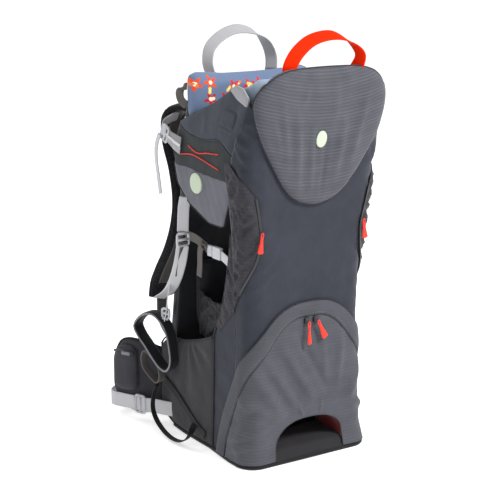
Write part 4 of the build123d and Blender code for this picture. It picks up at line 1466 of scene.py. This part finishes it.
def free_strap(name, route, across, width, material, slot, far_end, lay, *nodes):
    """Loose webbing: a flat cord that follows its route's smooth curve, on both sides of the bag."""
    for s, side in ((1, "left"), (-1, "right")):
        pts = [(s * x, y, z) for x, y, z in route]
        line = nurbs(pts)
        over = Vector((s * across[0], across[1], across[2]))
        obj = sweep(name + "_" + side, line, over, flat_profile(width, 2.2), material)
        put(obj, "frame", slot, *(nodes if side == "left" else ()))
        tuple(P(*pts[0]))
        lengths(line)[-1] / 1000


free_strap("lifter_tail", [(-145.4, 138, 586), (-147, 145, 574), (-147.5, 150, 552), (-145, 152, 528),
                           (-143.5, 149, 508), (-144, 144, 488), (-144.5, 139, 471)], (0, 0.9, 0.4), 11, "web_grey",
           "webbing_grey", "bare", "hanging")
free_strap("tether", [(-160, 136, 92), (-164, 150, 62), (-169, 138, 30), (-172, 92, 9), (-173, 44, 5), (-168, 14, 14),
                      (-154, 14, 34), (-134, 40, 34)], (0.9, 0.3, 0), 12, "web_black", "webbing_black", "object",
           "loose", "tethers")

# side adjusters, then the webbing of the side buckles over the leg openings
both(web("adjuster_top_left", [(-139, 56, 478), (-142, 58, 455), (-143, 60, 412)], (0.9, -0.4, 0), 22, "web_grey"),
     "frame", "webbing_grey", "adjuster_straps")
run = [(-143, 61, 385), (-146, 66, 352), (-146, 84, 316), (-142, 116, 284), (-134, 170, 256)]
both(web("adjuster_run_left", run, (0.85, -0.5, 0), 24, "web_grey"),
     ("frame", "harness", P(0, 80, 360), P(0, 150, 290)), "webbing_grey")
fold = [(-140.5, 58, 392), (-140.5, 63, 372), (-141, 72, 342), (-140, 80, 322)]
both(web("adjuster_fold_left", fold, (1, 0.1, 0), 19, "web_taupe"), "frame", "webbing_taupe")
both(web("side_web_rear_left", [(-122, -40, 384), (-123, -62, 378), (-124, -84, 370)], UP, 18, "web_grey"), "frame",
     "webbing_grey", "side_straps")
front = [(-122, 0, 385), (-122, 22, 392), (-122, 52, 398), (-121, 88, 398)]
both(web("side_web_front_left", front, UP, 18, "web_taupe"), "frame", "webbing_taupe",
     squash=("side_buckle_release_SIDE", P(0, 88, 398), 0.75))
loose = [(-125, 4, 388), (-128, 14, 394), (-129, 21, 380), (-128, 24, 352), (-128, 27, 330)]
both(web("side_web_loose_left", loose, (0, 1, 0.25), 17, "web_taupe"), "side_plug_SIDE", "webbing_taupe")

# ------------------------------------------------------------------ hip belt
fin_plan = even(flat_path([(-95, 174), (-128, 183), (-162, 214), (-178, 252), (-181, 262)]), 120)
fin_run = lengths(fin_plan)


def fin_place(lift):
    """Place on the curved hip fin: a along its plan, b its height, h off its surface."""
    def place(a, b, h):
        k = max(0, min(118, int(a / fin_run[-1] * 119)))
        t = (fin_plan[k + 1] - fin_plan[k]).normalized()
        out = Vector((-t.y, t.x, 0))
        if out.x > 0:
            out = -out
        p = fin_plan[k].lerp(fin_plan[k + 1], (a - fin_run[k]) / max(1e-6, fin_run[k + 1] - fin_run[k]))
        return Vector((p.x, p.y, b)) + out * (lift + h)
    return place


def fin_front(A, B, D):
    return puff(D, 6.2, 14) - 2.0 * np.exp(-((B - 92 - 0.1 * A) / 4) ** 2) * soft(D, 12)


def pouch_front(A, B, D):
    return (puff(D, 12.0, 14) + 1.6 * noise_at(A, B, 34, 2.0) * soft(D, 12)
            + 1.0 * np.sin(B / 9.0 + A / 14.0) * soft(D, 14))


FIN = [(0, 46), (0, 139), (35, 151), (50, 158), (89, 167), (119, 159), (140, 120), (140, 54), (112, 21), (76, 14),
       (45, 25)]
fin_ring = outline(FIN, 5.5, rounded=14)
fin = panel("hip_fin_pad_left", fin_ring, fin_place(0), fin_front, lambda A, B, D: -puff(D, 6.2, 14), "fin", 5.5)
both(fin, "hip_belt", "slate", "hip_fin_SIDE", pads=0.6)
fin_edge = [fin_place(0)(a, b, 0) for a, b in fin_ring]
both(piping("hip_fin_piping_left", fin_edge, 2.4, "binding", closed=True), "hip_belt", "slate")
POUCH = [(72, 60), (72, 146), (90, 157), (122, 150), (132, 116), (131, 66), (116, 56)]
pouch = panel("hip_pouch_left", outline(POUCH, 4.0, rounded=12), fin_place(6.5), pouch_front, level(-2.0), "fin", 4.5)
inflate(pouch, 4.5, 3.0, 3.0, 12)
both(pouch, "hip_belt", "slate", pads=0.5)
zip_line = [fin_place(6.5)(a, 138 + 6 * math.sin((a - 76) / 16), 13.6) for a in range(80, 124, 3)]
both(sweep("hip_pouch_zip_left", zip_line, UP, flat_profile(4.5, 2.0), "zip"), "hip_belt", "slate")
tab_line = [fin_place(6.5)(a, 139, 15.5) for a in (84, 92, 100)]
both(web("hip_pouch_tab_left", tab_line, UP, 7, "thread"), "hip_belt", "webbing_grey")

belt = [(-160, 178, 35), (-166, 194, 35), (-174, 214, 35), (-185, 242, 34), (-191, 260, 33), (-187, 277, 33),
        (-166, 293, 33), (-120, 305, 34), (-70, 311.5, 34), (-36, 312, 34)]
both(web("belt_web_left", belt, UP, 30, "web_grey", 2.2), "hip_belt", "webbing_grey", "hip_webbing_SIDE")
root = [(-131, 124, 37), (-140, 140, 37), (-150, 160, 37), (-160, 178, 36)]
both(web("belt_root_left", root, UP, 30, "web_grey", 2.2), ("frame", "hip_belt", P(0, 132, 37), P(0, 168, 37)),
     "webbing_grey")
both(ladder("belt_lock_left", (-167, 194, 35), UP, (-0.93, -0.37, 0), 40, 27), "hip_belt", "buckle_grey", "belt_locks")

# ------------------------------------------------------------------ stirrups
FACE = Vector((-0.947, -0.32, 0)).normalized()


def stirrup_line(points):
    return [Vector((-164 - 0.32 * (y - 147) / 0.947, y, z)) for y, z in points]


STIRRUP = [(112, 221), (130, 235), (150, 236), (170, 224), (181, 206), (172, 188), (156, 171), (138, 150), (122, 134),
           (106, 128), (96, 138), (93, 156), (97, 186), (103, 206)]
ring_path = even(smooth_path(stirrup_line(STIRRUP), 4, closed=True), 96, closed=True)
stirrup = sweep("stirrup_pad_left", ring_path, FACE, pad_profile(26, 7.5, 10, 3.2), "black", closed=True)
both(stirrup, "stirrup_SIDE", "mesh_black", "stirrup_SIDE", pads=0.5)
for edge, name in ((-12.6, "inner"), (12.6, "outer")):
    line = [p + FACE * edge for p in ring_path]
    both(piping("stirrup_piping_%s_left" % name, line, 1.9, "piping_grey", closed=True), "stirrup_SIDE", "webbing_grey")
lower = [(126, 127), (138, 142), (152, 154), (163, 156), (168, 142), (165, 124), (150, 108), (134, 98), (125, 106)]
both(web("stirrup_loop_left", stirrup_line(lower), FACE, 19, "web_taupe", 2.2, closed=True), "stirrup_SIDE",
     "webbing_taupe")
hanger = [(-139, 100, 328), (-146, 103, 304), (-151, 106, 276), (-153.5, 109, 244), (-156, 111, 228)]
both(web("stirrup_hanger_left", hanger, (0.5, 0.85, 0), 16, "web_grey"), "frame", "webbing_grey", "stirrup_hangers")


# ------------------------------------------------------------------ zip pulls
def pull(name, node, top, length, tilt, width):
    """Moulded pull: a cord loop through the slider and a tapered grip."""
    x, y, z = top
    c, s = math.cos(tilt), math.sin(tilt)

    def at(a, b, out):
        return Vector((x + a * c - b * s, y - out, z - b * c - a * s))

    right = [(width * 0.26, 8), (width * 0.3, 16), (width * 0.62, length - 1), (width * 0.3, length)]
    grip = outline([(-width * 0.26, 8)] + right + [(-a, b) for a, b in right[:0:-1]], 1.6, rounded=2.0)
    body = panel(name, grip, at, lambda A, B, D: 0.4 + puff(D, 1.7, 2.2) + 0.25 * np.sin(B * 1.4) * (D > 1.2),
                 lambda A, B, D: -0.4 - puff(D, 1.2, 2.2), "pull", 1.7)
    loop = smooth_path([at(-1.4, 12, 0.2), at(-2.2, 4, 0.6), at(0, 0, 1.0), at(2.2, 4, 0.6), at(1.4, 12, 0.2)], 1.2)
    put(joined(name, [body, piping(name + "_cord", loop, 0.9, "pull")]), node, "pull_orange", node)


pull("pocket_pull_grip_left", "pocket_pull_left", (-8, -160.5, 268), 44, -0.04, 7.0)
pull("pocket_pull_grip_right", "pocket_pull_right", (12, -160.5, 268), 40, -0.45, 11.0)
pull("gusset_pull_grip_left", "gusset_pull_left", (-112, -162.2, 447), 38, 0.12, 10)
pull("gusset_pull_grip_right", "gusset_pull_right", (112, -162.2, 447), 38, -0.12, 10)

# ------------------------------------------------------------------ finishes of the rigid parts that stay
FINISH = {
    "tube": ["main_hoop", "base_hoop", "cross_bars", "side_arm_left", "side_arm_right", "headrest_hoop",
             "kickstand_tube"],
    "black_plastic": ["splice_sleeves", "back_board", "yoke_plate"],
    "steel": ["hinge_pins"],
    "zip": ["pocket_sliders"],
    "rubber": ["base_foot", "kickstand_foot"],
    "buckle": ["side_buckle_sockets", "side_buckle_plug_left", "side_buckle_plug_right", "waist_socket", "waist_plug"],
}
for finish, nodes in FINISH.items():
    for node in nodes:
        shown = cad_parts[node]
        if not shown.data.materials:
            shown.data.materials.append(M[finish])
        for material_slot in shown.material_slots:
            material_slot.material = M[finish]

# ------------------------------------------------------------------ floor, lights and camera
lo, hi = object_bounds()
bpy.ops.mesh.primitive_plane_add(size=80, location=(0, 0, min(0.0, lo.z) - 0.0005))
floor = bpy.context.object
floor.name = "studio_floor"
ground = Graph("studio_paper", 0.9, Emission_Color=(1.0, 1.0, 1.0, 1.0), Emission_Strength=0.5)
paper = [(0.3, (0.86, 0.86, 0.865, 1)), (0.7, (0.9, 0.9, 0.9, 1))]
ground.finish(ground.ramp(ground.noise(ground.obj, 0.8, 2.0), paper))
floor.data.materials.append(ground.mat)
floor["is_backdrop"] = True

world = bpy.data.worlds.new("studio")
bpy.context.scene.world = world
world.use_nodes = True
nodes = world.node_tree.nodes
sky, backdrop = nodes["Background"], nodes.new("ShaderNodeBackground")
for shader, strength in ((sky, 0.62), (backdrop, 1.0)):
    shader.inputs["Color"].default_value = (1.0, 1.0, 1.0, 1)
    shader.inputs["Strength"].default_value = strength
ray = nodes.new("ShaderNodeLightPath")
choice = nodes.new("ShaderNodeMixShader")
for source, target in ((ray.outputs["Is Camera Ray"], choice.inputs[0]), (sky.outputs[0], choice.inputs[1]),
                       (backdrop.outputs[0], choice.inputs[2]),
                       (choice.outputs[0], nodes["World Output"].inputs["Surface"])):
    world.node_tree.links.new(source, target)


def aimed(name, data, place, direction):
    obj = add_object(name, data)
    obj.location = place
    obj.rotation_mode = "QUATERNION"
    obj.rotation_quaternion = direction.to_track_quat("-Z", "Y")
    return obj


AIM = Vector((0, 0, 0.4))
for name, place, size, watts in (("key_light", (1.1, -2.4, 2.8), 1.0, 150), ("fill_light", (-2.6, -0.9, 1.9), 1.8, 14),
                                 ("rim_light", (-0.8, 2.6, 2.4), 1.6, 40)):
    data = bpy.data.lights.new(name, "AREA")
    data.shape, data.size, data.energy = "DISK", size, watts
    aimed(name, data, place, AIM - Vector(place))

data = bpy.data.cameras.new("photo_camera")
data.lens, data.sensor_width = 102.96, 36.0
data.clip_start, data.clip_end = 0.05, 60
camera = aimed("photo_camera", data, P(-1477.3, -2194.7, 1004.9), Vector((0.53489, 0.81197, -0.23366)))
bpy.context.scene.camera = camera
bpy.context.scene.view_settings.view_transform = "Standard"

lo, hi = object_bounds()
